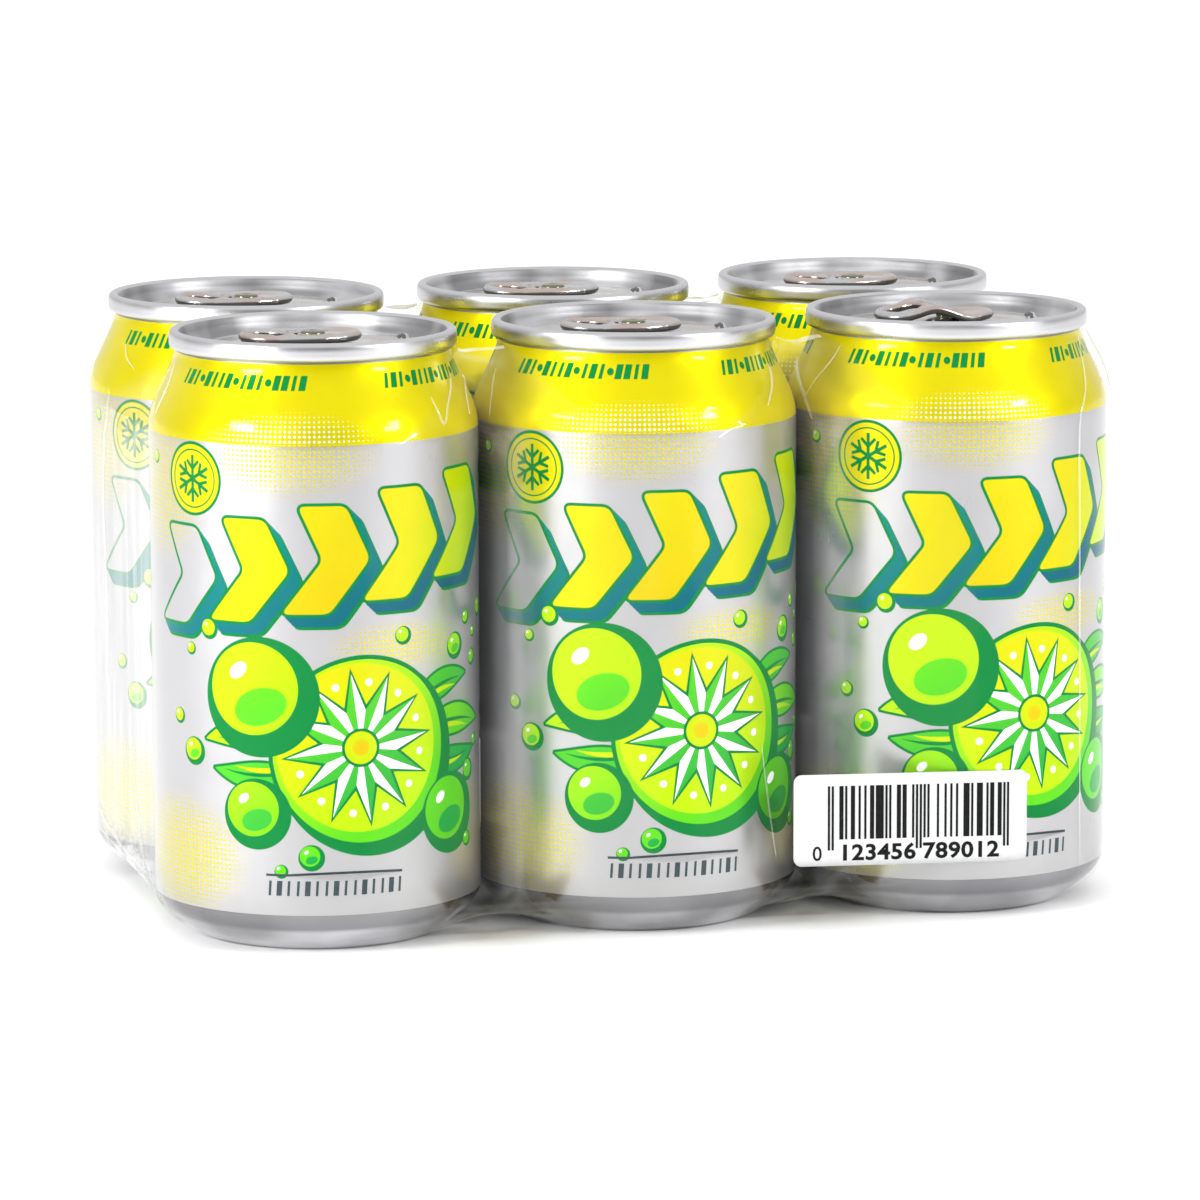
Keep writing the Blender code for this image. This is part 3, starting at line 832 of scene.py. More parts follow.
def panel_relief(x, y):
    """Height of the panel's pressed details over its flat, in mm; x points from the tab's finger end to the mouth."""
    h = 0.0
    # score line round the mouth: a narrow groove with a raised bead inside it
    mx, my = 10.2, 0.0
    q = math.hypot((x - mx) / 9.2, (y - my) / 11.2)
    h -= 0.34 * math.exp(-(((q - 1.0) * 10.0) / 0.42) ** 2)
    h += 0.36 * math.exp(-(((q - 0.72) * 10.0) / 0.80) ** 2)
    h -= 0.18 * math.exp(-(q / 0.45) ** 2)
    # raised button near the wall on the mouth side
    d = math.hypot(x - DIMPLE[0], y - DIMPLE[1])
    h += 1.25 / (1.0 + math.exp((d - 1.25) * 6.0)) - 0.25 * math.exp(-(d / 0.6) ** 2)
    # long shallow dish under the finger end
    d = math.hypot((x + 11.2) / 5.6, y / 7.4)
    h -= 0.55 / (1.0 + math.exp((d - 1.0) * 9.0))
    # short stiffening beads either side of the rivet
    for sgn in (1, -1):
        d = math.hypot((x + 1.0) / 6.5, (y - sgn * 12.6) / 1.1)
        h += 0.30 * math.exp(-d * d)
    # raised seat of the rivet
    d = math.hypot(x, y)
    h += 0.55 / (1.0 + math.exp((d - 4.2) * 3.2))
    return h


def can_end_mesh():
    n = 240
    pts, nrm, _ = smooth_profile(END, 0.30)
    inner = [0.36 * k for k in range(1, 56)]
    first = 0
    while pts[first][0] <= inner[-1]:
        first += 1
    ring = [(r, float(np.interp(r, pts[:first + 3, 0], pts[:first + 3, 1]))) for r in inner] + [tuple(p) for p in pts[first:]]
    verts = [(0.0, 0.0, END[0][1] + panel_relief(0, 0))]
    for r, z in ring:
        for i in range(n):
            a = TAU * i / n
            x, y = r * math.cos(a), r * math.sin(a)
            dz = panel_relief(x, y) * (1.0 - min(1.0, max(0.0, (r - 20.4) / 1.6))) if r < 22 and z < 119.4 else 0.0
            verts.append((x, y, z + dz))
    faces = [[0, 1 + i, 1 + (i + 1) % n] for i in range(n)]
    for k in range(len(ring) - 1):
        b0, b1 = 1 + k * n, 1 + (k + 1) * n
        for i in range(n):
            j = (i + 1) % n
            faces.append([b0 + i, b1 + i, b1 + j, b0 + j])
    v = np.array(verts) * MM
    deep = [0] * n
    for k in range(len(ring) - 1):
        r, z = ring[k]
        if r < 22.5:
            # painted shade: the near side of the button takes the dark groove colour as its own shade
            deep += [1 if (x - DIMPLE[0] < 0.1 and math.hypot(x - DIMPLE[0], y - DIMPLE[1]) < 1.7) else 2
                     for x, y in ((r * math.cos(TAU * i / n), r * math.sin(TAU * i / n)) for i in range(n))]
        else:
            # painted shade: the countersink groove takes the dark groove colour; index 3 is the chuck wall
            deep += [1 if r < 25.2 and z < 118.0 else 3 if r < 26.9 and z > 117.0 else 0] * n
    deep[:n] = [2] * n
    return mesh_from("can_end", v, faces, deep, [M_END, M_GROOVE_SHADE, M_PANEL, M_WALL])


end_proto = can_end_mesh()


# ---------------------------------------------------------------- tabs
def tab_outline(n=96, a=12.4, b=8.2, cx=-2.6, e=2.5):
    out = []
    for i in range(n):
        t = TAU * i / n
        c, s = math.cos(t), math.sin(t)
        x = cx + a * math.copysign(abs(c) ** (2 / e), c)
        y = b * math.copysign(abs(s) ** (2 / e), s)
        y *= 1.0 - 0.08 * max(0.0, (x - cx) / a)
        out.append((x, y))
    return out


def tab_height(x, y, edge, hole, slot):
    """Top of the tab over its mid plane: curled rims round the outline and the finger hole, flat web between."""
    h = 0.0
    h += 0.62 * math.exp(-((edge - 0.85) / 0.75) ** 2)
    h += 0.50 * math.exp(-((hole - 0.75) / 0.65) ** 2)
    return h


def ring_distance(poly, x, y):
    best = 1e9
    n = len(poly)
    for i in range(n):
        ax, ay = poly[i]
        bx, by = poly[(i + 1) % n]
        dx, dy = bx - ax, by - ay
        t = max(0.0, min(1.0, ((x - ax) * dx + (y - ay) * dy) / (dx * dx + dy * dy)))
        d = (x - ax - t * dx) ** 2 + (y - ay - t * dy) ** 2
        if d < best:
            best = d
    return math.sqrt(best)


def tab_mesh(bent):
    """A closed pressed tab. Its top and underside share one outline, joined by a rounded edge."""
    outline = tab_outline()
    hole = [(-9.3 + 3.7 * math.cos(TAU * i / 48), 4.8 * math.sin(TAU * i / 48) * (1 - 0.12 * math.cos(TAU * i / 48))) for i in range(48)]
    # C-shaped cut round the rivet's tongue
    slot = []
    for i in range(31):
        t = math.radians(50 + 260 * i / 30)
        slot.append((0.4 + 4.3 * math.cos(t), 4.6 * math.sin(t)))
    for i in range(31):
        t = math.radians(310 - 260 * i / 30)
        slot.append((0.4 + 3.55 * math.cos(t), 3.85 * math.sin(t)))
    verts, faces = [], []
    for poly in (outline, hole, slot):
        base = len(verts)
        verts += [Vector(p) for p in poly]
        faces.append(list(range(base, base + len(poly))))
    step = 0.62
    x = -16.0
    while x < 11.0:
        y = -9.0
        while y < 9.0:
            verts.append(Vector((x + 0.013, y + 0.017)))
            y += step
        x += step
    for off in (0.30, 0.62, 0.95, 1.35):
        verts += [Vector(p) for p in grown(outline, -off)]
        verts += [Vector(p) for p in grown(hole, off)]
    v, e, f, _, _, orig = geometry.delaunay_2d_cdt(verts, [], faces, 0, 1e-4, True)
    keep = [list(t) for t, src in zip(f, orig) if 0 in src and 1 not in src and 2 not in src]
    used = sorted({i for t in keep for i in t})
    remap = {i: k for k, i in enumerate(used)}
    pts = [v[i] for i in used]
    tris = [[remap[i] for i in t] for t in keep]
    count = {}
    for t in tris:
        for a, b in ((t[0], t[1]), (t[1], t[2]), (t[2], t[0])):
            count[(a, b)] = count.get((a, b), 0) + 1
    rim = [(a, b) for (a, b) in count if (b, a) not in count]
    rim_set = {a for a, _ in rim} | {b for _, b in rim}

    def lift(px):
        if not bent:
            return 0.0
        t = (px + 4.4) / 5.6
        return 1.85 * math.exp(-t * t * 1.5) - 0.35 * math.exp(-((px - 3.4) / 2.6) ** 2)
    top, low = [], []
    for i, p in enumerate(pts):
        de, dh = ring_distance(outline, p.x, p.y), ring_distance(hole, p.x, p.y)
        ds = ring_distance(slot, p.x, p.y)
        h = tab_height(p.x, p.y, de, dh, ds)
        half = 0.34 + h * 0.72
        k = min(1.0, min(de, dh, ds + 0.12) / 0.62)
        round_off = math.sqrt(max(0.0, 1 - (1 - k) ** 2))
        z0 = 120.68 + lift(p.x) - 0.10 * (p.y / 8.0) ** 2
        top.append((p.x, p.y, z0 + half * round_off))
        low.append((p.x, p.y, z0 - (half * 1.15 + 0.12) * round_off))
    verts3 = list(top)
    low_index = []
    for i in range(len(pts)):
        if i in rim_set:
            verts3[i] = (top[i][0], top[i][1], 0.5 * (top[i][2] + low[i][2]))
            low_index.append(i)
        else:
            low_index.append(len(verts3))
            verts3.append(low[i])
    out, mats = [], []
    for t in tris:
        out.append(list(t))
        out.append([low_index[i] for i in reversed(t)])
        # top faces take the tab metal, the underside the dark painted shade
        mats += [0, 1]
    # rivet head on the tongue
    n = 40
    prof = [(0.0, 121.62), (0.9, 121.62), (1.7, 121.55), (2.25, 121.4), (2.5, 121.1), (2.45, 120.8), (2.2, 120.65), (2.0, 119.8), (2.0, 119.2)]
    base = len(verts3)
    verts3.append((0.0, 0.0, prof[0][1] - 0.28))
    rp, _, _ = smooth_profile(prof, 0.2)
    for r, z in rp[1:]:
        dz = -0.28 * math.exp(-(r / 1.1) ** 2)
        for i in range(n):
            verts3.append((r * math.cos(TAU * i / n), r * math.sin(TAU * i / n), z + dz))
    for i in range(n):
        out.append([base, base + 1 + i, base + 1 + (i + 1) % n])
    for k in range(len(rp) - 2):
        b0, b1 = base + 1 + k * n, base + 1 + (k + 1) * n
        for i in range(n):
            j = (i + 1) % n
            out.append([b0 + i, b1 + i, b1 + j, b0 + j])
    mats += [2] * (len(out) - len(mats))
    return mesh_from("tab", np.array(verts3) * MM, out, mats, [M_TAB, M_UNDER_SHADE, M_RIVET_REFLECTION])


tab_flat, tab_bent = tab_mesh(False), tab_mesh(True)
for key, at in CANS.items():
    place = Matrix.Translation((at[0] * MM, at[1] * MM, 0))
    me = end_proto.copy()
    me.transform(place)
    ob = link(f"can_{key}_end_pressed", me)
    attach(ob, "root")
    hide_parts(f"can_{key}_end")
    me = (tab_bent if key == "front_right" else tab_flat).copy()
    me.transform(place)
    ob = link(f"can_{key}_tab_curled", me)
    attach(ob, "root")
    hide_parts(f"can_{key}_tab")


# ---------------------------------------------------------------- film
FILM_GAP = 0.22
# height, distance from the can's axis, radius of the hollow between two cans
FILM_LEVELS = [(0.9, 26.6, 30), (2.6, 29.4, 34), (4.2, 31.3, 40), (6.2, 32.75, 60), (8.6, 33.3, 160), (12, 33.32, 700), (60, 33.32, 900), (95, 33.32, 700),
               (101, 33.32, 170), (104.4, 33.12, 60), (107.4, 32.25, 32), (110.4, 30.95, 19), (113.4, 29.4, 12.5), (115.6, 28.5, 9), (117.2, 28.0, 7.2), (118.3, 27.95, 6.8)]
CORNERS = ["front_left", "front_middle", "front_right", "back_right", "back_middle", "back_left"]


def film_level(z):
    zs = [l[0] for l in FILM_LEVELS]
    r = float(np.interp(z, zs, [l[1] for l in FILM_LEVELS]))
    k = float(np.interp(z, zs, [1.0 / l[2] for l in FILM_LEVELS]))
    return r, 1.0 / k


ARC_N, HOLLOW_N = 40, 30


def hollow_radius(z, end):
    """The end webs stay flat down to the feet."""
    rho = film_level(z)[1]
    if end and z < 12.0:
        rho = max(rho, 260.0)
    return rho


def film_ring(z):
    """Points and outward normals once round the pack, with a tag: 0 on a can, 1 in the middle of a hollow."""
    pts, nrm, tag = [], [], []
    r = film_level(z)[0]
    axes = [CANS[k] for k in CORNERS]
    n = len(axes)
    for i in range(n):
        ax, ay = axes[i]
        px, py = axes[i - 1]
        qx, qy = axes[(i + 1) % n]

        def outward(ax, ay, bx, by):
            d = Vector((bx - ax, by - ay)).normalized()
            return Vector((d.y, -d.x))
        n_in, n_out = outward(px, py, ax, ay), outward(ax, ay, qx, qy)
        half_in, half_out = math.hypot(ax - px, ay - py) / 2, math.hypot(qx - ax, qy - ay) / 2
        rho_in, rho = hollow_radius(z, abs(px - ax) < 1.0), hollow_radius(z, abs(qx - ax) < 1.0)
        reach = math.sqrt((r + rho_in) ** 2 - half_in ** 2)
        t_in = math.atan2(half_in, reach)
        reach2 = math.sqrt((r + rho) ** 2 - half_out ** 2)
        t_out = math.atan2(half_out, reach2)
        a0 = math.atan2(n_in.y, n_in.x) - t_in
        a1 = math.atan2(n_out.y, n_out.x) + t_out
        # arc on this can from the incoming tangent point to the outgoing one, counter-clockwise
        start, stop = a0, a1
        while stop < start:
            stop += TAU
        while stop - start > TAU:
            stop -= TAU
        for k in range(ARC_N):
            a = start + (stop - start) * k / ARC_N
            pts.append((ax + r * math.cos(a), ay + r * math.sin(a)))
            nrm.append((math.cos(a), math.sin(a)))
            tag.append(0.0)
        # hollow to the next can
        base = math.atan2(n_out.y, n_out.x)
        mx, my = (ax + qx) / 2 + n_out.x * reach2, (ay + qy) / 2 + n_out.y * reach2
        for k in range(HOLLOW_N):
            b = base + PI + t_out - 2 * t_out * k / HOLLOW_N
            pts.append((mx + rho * math.cos(b), my + rho * math.sin(b)))
            nrm.append((-math.cos(b), -math.sin(b)))
            tag.append(math.sin(PI * (k + 0.0) / HOLLOW_N))
    return np.array(pts), np.array(nrm), np.array(tag)


def film_material(name, haze, edge=0.0, base=0.007, wrinkle=0.12, shade_tint=None, gap=None, white=(0.95, 0.96, 0.95), web=False):
    """Clear shrink film: see-through, glossy at grazing angles, with a faint milky veil along its creases.

    The shade tint is a painted shade: it darkens what is seen through the film low in the gap between two cans; gap =
    (inner, outer, veil) adds a streaky veil there, between those distances in mm from the middle of the gap."""
    mat, n, out = blank(name)
    obj = n.t.nodes.new("ShaderNodeTexCoord").outputs["Object"]
    sep = n.t.nodes.new("ShaderNodeSeparateXYZ")
    n.t.links.new(obj, sep.inputs[0])
    off = n.math("ABSOLUTE", n.math("SUBTRACT", n.math("ABSOLUTE", sep.outputs[0]), PITCH / 2 * MM))
    clear = n.new("ShaderNodeBsdfTransparent")
    clear.inputs["Color"].default_value = (0.985, 0.985, 0.985, 1.0)
    if shade_tint:
        # painted shade: low in the gap the film's see-through colour turns dark olive, standing in for the shade
        # between the cans' feet
        slope = n.math("ADD", off, n.math("MULTIPLY", sep.outputs[2], 1.25))
        low = n.span(slope, 0.0138, 0.0158, 1.0, 0.0)
        n.put(clear, "Color", n.mix(low, (0.985, 0.985, 0.985), shade_tint))
    streak = n.noise(n.scaled(obj, (60.0, 60.0, 14.0)), 1.0, 1.0, 0.6)
    shine = n.new("ShaderNodeBsdfGlossy")
    shine.inputs["Color"].default_value = (1.0, 1.0, 1.0, 1.0)
    n.put(shine, "Roughness", n.span(streak, 0.3, 0.7, 0.06, 0.14))
    look = n.t.nodes.new("ShaderNodeLayerWeight")
    look.inputs["Blend"].default_value = 0.5
    rise = n.math("POWER", look.outputs["Facing"], 5.0)
    gloss = n.math("ADD", n.math("MULTIPLY", rise, 0.85 - base), base)
    m1 = n.new("ShaderNodeMixShader")
    n.t.links.new(gloss, m1.inputs[0])
    n.t.links.new(clear.outputs[0], m1.inputs[1])
    n.t.links.new(shine.outputs[0], m1.inputs[2])
    if not haze:
        n.t.links.new(m1.outputs[0], out.inputs[0])
        return mat
    p = principled(n, out, link=False)
    p.inputs["Base Color"].default_value = rgba(white)
    p.inputs["Metallic"].default_value = 0.0
    p.inputs["Specular IOR Level"].default_value = 0.8
    n.put(p, "Roughness", n.span(streak, 0.3, 0.7, 0.05, 0.16))
    fine = n.noise(n.scaled(obj, (140.0, 140.0, 30.0)), 1.0, 2.0, 0.55)
    nb = n.bump(fine, wrinkle, 0.0006)
    n.put(p, "Normal", nb)
    n.put(shine, "Normal", nb)
    m2 = n.new("ShaderNodeMixShader")
    cloud = n.noise(n.scaled(obj, (110.0, 110.0, 25.0)), 1.0, 2.0, 0.65)
    veil = n.span(cloud, 0.45, 0.8, haze * 0.4, haze * 2.2)
    if edge:
        veil = n.math("ADD", veil, edge)
    if web:
        veil = n.math("MULTIPLY", veil, n.span(n.math("ABSOLUTE", sep.outputs[1]), 0.024, 0.0325, 1.0, 0.1))
    if gap:
        inner, outer, amount = gap
        strands = n.span(n.noise(n.scaled(obj, (320.0, 320.0, 12.0)), 1.0, 1.0, 0.6), 0.35, 0.7, 0.45, 1.35)
        veil = n.math("ADD", veil, n.math("MULTIPLY", strands, n.span(off, inner * MM, outer * MM, amount, 0.0)))
    n.t.links.new(veil, m2.inputs[0])
    n.t.links.new(m1.outputs[0], m2.inputs[1])
    n.t.links.new(p.outputs[0], m2.inputs[2])
    n.t.links.new(m2.outputs[0], out.inputs[0])
    return mat


M_FILM = film_material("film_clear", 0.0, base=0.005)
M_FILM_EDGE = film_material("film_edge", 0.08, 0.42, 0.05, 0.3)
M_FILM_HEM = film_material("film_hem", 0.02, 0.0, 0.01, 0.15, gap=(4.5, 12.0, 0.80), white=(0.45, 0.41, 0.31))
M_FILM_WEB = film_material("film_web", 0.004, 0.0, 0.02, 0.25)
M_FILM_GAP_SHADE = film_material("film_gap_painted_shade", 0.001, 0.0, 0.012, 0.12, shade_tint=(0.33, 0.275, 0.15), gap=(0.5, 5.0, 0.07))
M_FILM_END = film_material("film_end_veil", 0.07, 0.05, 0.03, 0.25, web=True)
M_FILM_CORNER = film_material("film_corner_veil", 0.16, 0.20, 0.05, 0.35, web=True)


def film_wrinkle(x, y, z, tag, along):
    """Outward shift of the film, in mm: pleats where it bridges two cans and where it shrank over the shoulders and feet."""
    w = 0.0
    p = Vector((along * 0.16, z * 0.018, 3.1))
    bridge = tag ** 0.8
    w += bridge * 0.55 * (noise.noise(p * 1.0) + 0.5 * noise.noise(p * 2.3))
    neck = 1.0 / (1.0 + math.exp(-(z - 106.0) / 2.2))
    w += neck * (0.18 + 0.65 * bridge) * noise.noise(Vector((along * 0.42, z * 0.05, 9.7)))
    foot = 1.0 / (1.0 + math.exp((z - 11.0) / 1.8))
    w += foot * (0.22 + 0.8 * bridge) * noise.noise(Vector((along * 0.40 + z * 0.18, z * 0.10, 5.5)))
    return w


def film_mesh():
    zs = list(np.linspace(0.9, 12, 18)) + list(np.linspace(15, 98, 30)) + list(np.linspace(99.5, 118.3, 30))
    verts, tags = [], []
    cols = None
    for z in zs:
        p, nr, tg = film_ring(z)
        tags_row = tg
        cols = len(p)
        step = np.r_[0, np.linalg.norm(np.diff(p, axis=0), axis=1)]
        along = np.cumsum(step)
        for i in range(cols):
            w = film_wrinkle(p[i][0], p[i][1], z, tg[i], along[i])
            w = max(w, -0.10) if tg[i] < 0.05 else w
            # the free upper edge dips between two cans
            dip = max(0.0, (z - 114.8) / 3.5) * tg[i] ** 1.5 * (1.1 + 1.6 * noise.noise(Vector((along[i] * 0.13, 2.0, 7.0))))
            # and the lower one is drawn up
            dip -= max(0.0, (6.0 - z) / 5.1) * tg[i] ** 2 * (2.6 + 1.4 * noise.noise(Vector((along[i] * 0.11, 5.0, 1.0)))) * (0.35 if abs(p[i][0]) > 90 else 1.0)
            verts.append((p[i][0] + nr[i][0] * w, p[i][1] + nr[i][1] * w, z - dip))
    faces, mats = [], []
    rows = len(zs)
    for k in range(rows - 1):
        for i in range(cols):
            j = (i + 1) % cols
            faces.append([k * cols + i, k * cols + j, (k + 1) * cols + j, (k + 1) * cols + i])
            bridge = min(tags_row[i], tags_row[j])
            end = i // (ARC_N + HOLLOW_N) in (2, 5)
            if k >= rows - 2 and bridge > 0.5:
                mats.append(1)
            elif k < 4 and bridge > 0.03:
                mats.append(6)
            elif bridge > 0.05 and end:
                mats.append(5 if zs[k] < 10.5 - 6.0 * (1 - bridge) else 4 if zs[k] < 100 else 2)
            elif bridge > 0.05:
                mats.append(2 if zs[k] > 103 else 7)
            else:
                mats.append(0)
    add_creases(verts, faces, mats)
    return mesh_from("film", np.array(verts) * MM, faces, mats, [M_FILM, M_FILM_EDGE, M_FILM_WEB, M_CREASE_GLINT, M_FILM_END, M_FILM_CORNER, M_FILM_HEM, M_FILM_GAP_SHADE])


# partly painted highlight: the crease's milky veil is whiter than the film's, so the ridges read as glint lines
M_CREASE_GLINT = film_material("film_crease_painted_glint", 0.10, 0.13, 0.12, 0.2)

# creases of the shrunk film: can, half width, height, then points as (angle from the front, height above the feet)
CREASES = [
    ("front_right", 0.55, 0.50, ((-103, 111.8), (-92, 109.6), (-83.5, 107.3), (-75.8, 104.4), (-71.4, 101.0))),
    ("front_right", 0.22, 0.25, ((-66, 116.5), (-69, 113.0), (-74, 109.0), (-78, 105.0))),
    ("front_right", 0.30, 0.22, ((56, 117.0), (53.8, 115.3), (44, 107.5), (38, 102.6), (36.8, 96), (37.2, 84.8), (37.8, 64.1), (38.4, 43.4), (39.0, 22.5), (39.7, 8.0))),
    ("front_right", 0.55, 1.50, ((76, 118.0), (79, 114.5), (80, 111.0), (79, 107.0), (76, 103.0))),
    ("front_middle", 0.32, 0.35, ((52.5, 114.0), (51.5, 112.2), (49.3, 110.8), (46.5, 109.2), (42.9, 107.6), (40.4, 106.2))),
    ("front_middle", 0.25, 0.25, ((-84, 113.0), (-78, 108.5), (-75, 104.0))),
    ("front_middle", 0.28, 0.25, ((35.3, 37.6), (37.7, 30.2), (40.7, 21.7), (44.7, 13.0))),
    ("front_left", 0.26, 0.35, ((36.2, 110.6), (36.7, 109.3), (37.5, 107.2), (39.4, 105.1), (44.2, 108.5), (53.1, 112.4), (55.0, 114.0))),
    ("front_left", 0.26, 0.30, ((72.5, 113.0), (71.6, 111.6), (64.5, 110.1), (60.3, 107.8), (58.5, 105.6))),
    ("front_left", 0.20, 0.25, ((-88, 116.0), (-84, 111.0), (-86, 106.0))),
    ("back_left", 0.20, 0.22, ((-70, 113.5), (-65, 110.6), (-58, 108.4))),
    ("back_left", 0.24, 0.30, ((-104, 115.0), (-98, 109.5), (-102, 104.0), (-110, 108.5), (-116, 114.0))),
    ("back_left", 0.24, 0.30, ((-150, 114.0), (-146, 108.5), (-151, 104.0))),
    ("back_left", 0.30, 0.40, ((177, 112.5), (171, 108.0), (166, 103.5), (163, 99.0))),
    ("back_left", 0.22, 0.22, ((-120, 12.5), (-128, 8.0), (-140, 4.5))),
    ("back_middle", 0.30, 0.40, ((-112, 113.0), (-118, 109.5), (-124, 105.0), (-127, 100.5))),
    ("back_middle", 0.24, 0.30, ((-160, 115.0), (-163, 109.5), (-158, 105.0), (-152, 110.0), (-148, 114.5))),
    ("back_middle", 0.26, 0.30, ((132, 114.0), (129, 110.5), (124, 107.5), (121, 104.0))),
    ("back_middle", 0.24, 0.22, ((150, 40.0), (147, 30.0), (144, 20.0), (138, 12.0))),
    ("back_right", 0.30, 0.40, ((-116, 113.0), (-121, 109.5), (-126, 105.0), (-130, 100.0))),
    ("back_right", 0.24, 0.30, ((172, 114.5), (168, 109.0), (172, 104.0))),
    ("back_right", 0.24, 0.30, ((128, 115.0), (131, 109.5), (127, 104.5), (120, 109.0), (115, 113.5))),
    ("back_right", 0.24, 0.25, ((92, 114.0), (88, 109.0), (91, 103.5), (92, 80.0), (91, 50.0), (92, 20.0))),
]
# long creases in the flat webs: corner pair, then points as (fraction of the way from can to can, height)
WEB_CREASES = [
    ("back_left", "front_left", 0.35, 0.35, ((0.03, 9.5), (0.25, 7.4), (0.50, 6.2), (0.80, 6.4))),
    ("back_left", "front_left", 0.30, 0.30, ((0.00, 15.0), (0.14, 11.2), (0.32, 8.8), (0.55, 8.0), (0.78, 9.2))),
    ("back_left", "front_left", 0.25, 0.25, ((0.16, 104.0), (0.20, 96.0), (0.17, 80.0), (0.20, 60.0), (0.18, 42.0))),
    ("back_left", "front_left", 0.25, 0.25, ((0.60, 26.0), (0.68, 17.0), (0.80, 11.0), (0.92, 8.5))),
    ("front_right", "back_right", 0.30, 0.30, ((0.10, 12.0), (0.35, 8.2), (0.60, 7.2), (0.90, 9.5))),
    ("front_right", "back_right", 0.25, 0.25, ((0.22, 104.0), (0.25, 90.0), (0.22, 60.0), (0.24, 30.0))),
    ("front_right", "back_right", 0.25, 0.25, ((0.70, 101.0), (0.66, 80.0), (0.70, 50.0))),
]


def crease_strip(verts, faces, mats, pts, nrm, half, high, kind):
    """A thin folded ridge of doubled film along the points, fading out at both ends; its whitish colour is partly the
    doubled film and partly a painted glint.
    """
    n = len(pts)
    base = len(verts)
    for i in range(n):
        a, b = pts[max(0, i - 1)], pts[min(n - 1, i + 1)]
        d = (b - a).normalized()
        side = d.cross(nrm[i]).normalized()
        f = math.sin(PI * i / (n - 1)) ** 0.45
        for w, h in ((-half * f, 0.03), (-half * 0.28 * f, high * f * 0.8 + 0.03), (half * 0.10 * f, high * f + 0.03), (half * f, 0.03)):
            verts.append(tuple(pts[i] + side * w + nrm[i] * h))
    for i in range(n - 1):
        for k in range(3):
            q = [base + 4 * i + k, base + 4 * i + k + 1, base + 4 * i + k + 5, base + 4 * i + k + 4]
            faces.append(q)
            mats.append(kind)


def dense_path(points, per=9):
    """Catmull-Rom through the points."""
    out = []
    n = len(points)
    for i in range(n - 1):
        p0, p1, p2, p3 = points[max(0, i - 1)], points[i], points[i + 1], points[min(n - 1, i + 2)]
        for k in range(per + (i == n - 2)):
            t = k / per
            out.append(tuple(0.5 * (2 * b + (c - a) * t + (2 * a - 5 * b + 4 * c - d) * t * t + (3 * b - a - 3 * c + d) * t ** 3)
                             for a, b, c, d in zip(p0, p1, p2, p3)))
    return out


def add_creases(verts, faces, mats):
    for key, half, high, path in CREASES:
        ax, ay = CANS[key]
        pts, nrm = [], []
        for th, z in dense_path(path):
            a = math.radians(th)
            r, _ = film_level(z)
            r_up, _ = film_level(z + 0.5)
            out = Vector((math.sin(a), -math.cos(a), -(r_up - r) / 0.5)).normalized()
            pts.append(Vector((ax + (r + 0.12) * math.sin(a), ay - (r + 0.12) * math.cos(a), z)))
            nrm.append(out)
        crease_strip(verts, faces, mats, pts, nrm, half, high, 3)
    for ka, kb, half, high, path in WEB_CREASES:
        a, b = Vector(CANS[ka]), Vector(CANS[kb])
        d = (b - a).normalized()
        out2 = Vector((d.y, -d.x))
        pts, nrm = [], []
        for f, z in dense_path(path):
            r, rho = film_level(z)[0], hollow_radius(z, True)
            gap = (b - a).length / 2
            reach = math.sqrt((r + rho) ** 2 - gap ** 2)
            x = (2 * f - 1) * gap
            off = reach - math.sqrt(max(0.0, rho * rho - x * x)) if abs(x) < gap * rho / (r + rho) else math.sqrt(max(0.0, r * r - (gap - abs(x)) ** 2))
            c = a + (b - a) * f + out2 * (off + 0.15)
            pts.append(Vector((c.x, c.y, z)))
            nrm.append(Vector((out2.x, out2.y, 0.0)))
        crease_strip(verts, faces, mats, pts, nrm, half, high, 3)


film = link("film_band_clear", film_mesh())
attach(film, "root")
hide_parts("film_band")


# ---------------------------------------------------------------- label on the film
def label_material():
    mat, n, out = blank("label_paper")
    obj = n.t.nodes.new("ShaderNodeTexCoord").outputs["Object"]
    p = principled(n, out)
    fibre = n.noise(n.scaled(obj, (1400.0, 1400.0, 500.0)), 1.0, 3.0, 0.6)
    broad = n.noise(obj, 60.0, 2.0, 0.5)
    n.put(p, "Base Color", n.mix(n.span(fibre, 0.3, 0.7, 0.0, 1.0), (0.62, 0.62, 0.63), (0.67, 0.67, 0.68)))
    n.put(p, "Roughness", n.span(broad, 0.3, 0.7, 0.36, 0.48))
    p.inputs["Coat Weight"].default_value = 0.15
    p.inputs["Coat Roughness"].default_value = 0.25
    n.put(p, "Normal", n.bump(fibre, 0.12, 0.00008))
    return mat


def ink_black():
    mat, n, out = blank("label_black")
    obj = n.t.nodes.new("ShaderNodeTexCoord").outputs["Object"]
    p = principled(n, out)
    f = n.noise(obj, 900.0, 2.0, 0.5)
    n.put(p, "Base Color", n.mix(n.span(f, 0.3, 0.7, 0.0, 1.0), (0.004, 0.004, 0.004), (0.010, 0.010, 0.011)))
    n.put(p, "Roughness", n.span(f, 0.3, 0.7, 0.50, 0.60))
    p.inputs["Specular IOR Level"].default_value = 0.12
    return mat


M_PAPER, M_BLACK = label_material(), ink_black()
LABEL_X0, LABEL_X1, LABEL_Z0, LABEL_Z1 = 24.3, 74.0, 13.4, 32.2


def label_place(a, z, off):
    """A point a mm along the label from its left end, on the film's front, lifted by off."""
    flat = PITCH - LABEL_X0                     # flat run up to the front right can's axis
    rad = BODY_R + FILM_GAP + off
    drop = -1.35 * max(0.0, (a / (LABEL_X1 - LABEL_X0))) ** 1.0
    y0 = -PITCH / 2
    x = LABEL_X0 + a
    if a <= flat:
        return (x, y0 - rad, z + drop)
    t = (a - flat) / rad
    return (PITCH + rad * math.sin(t), y0 - rad * math.cos(t), z + drop)


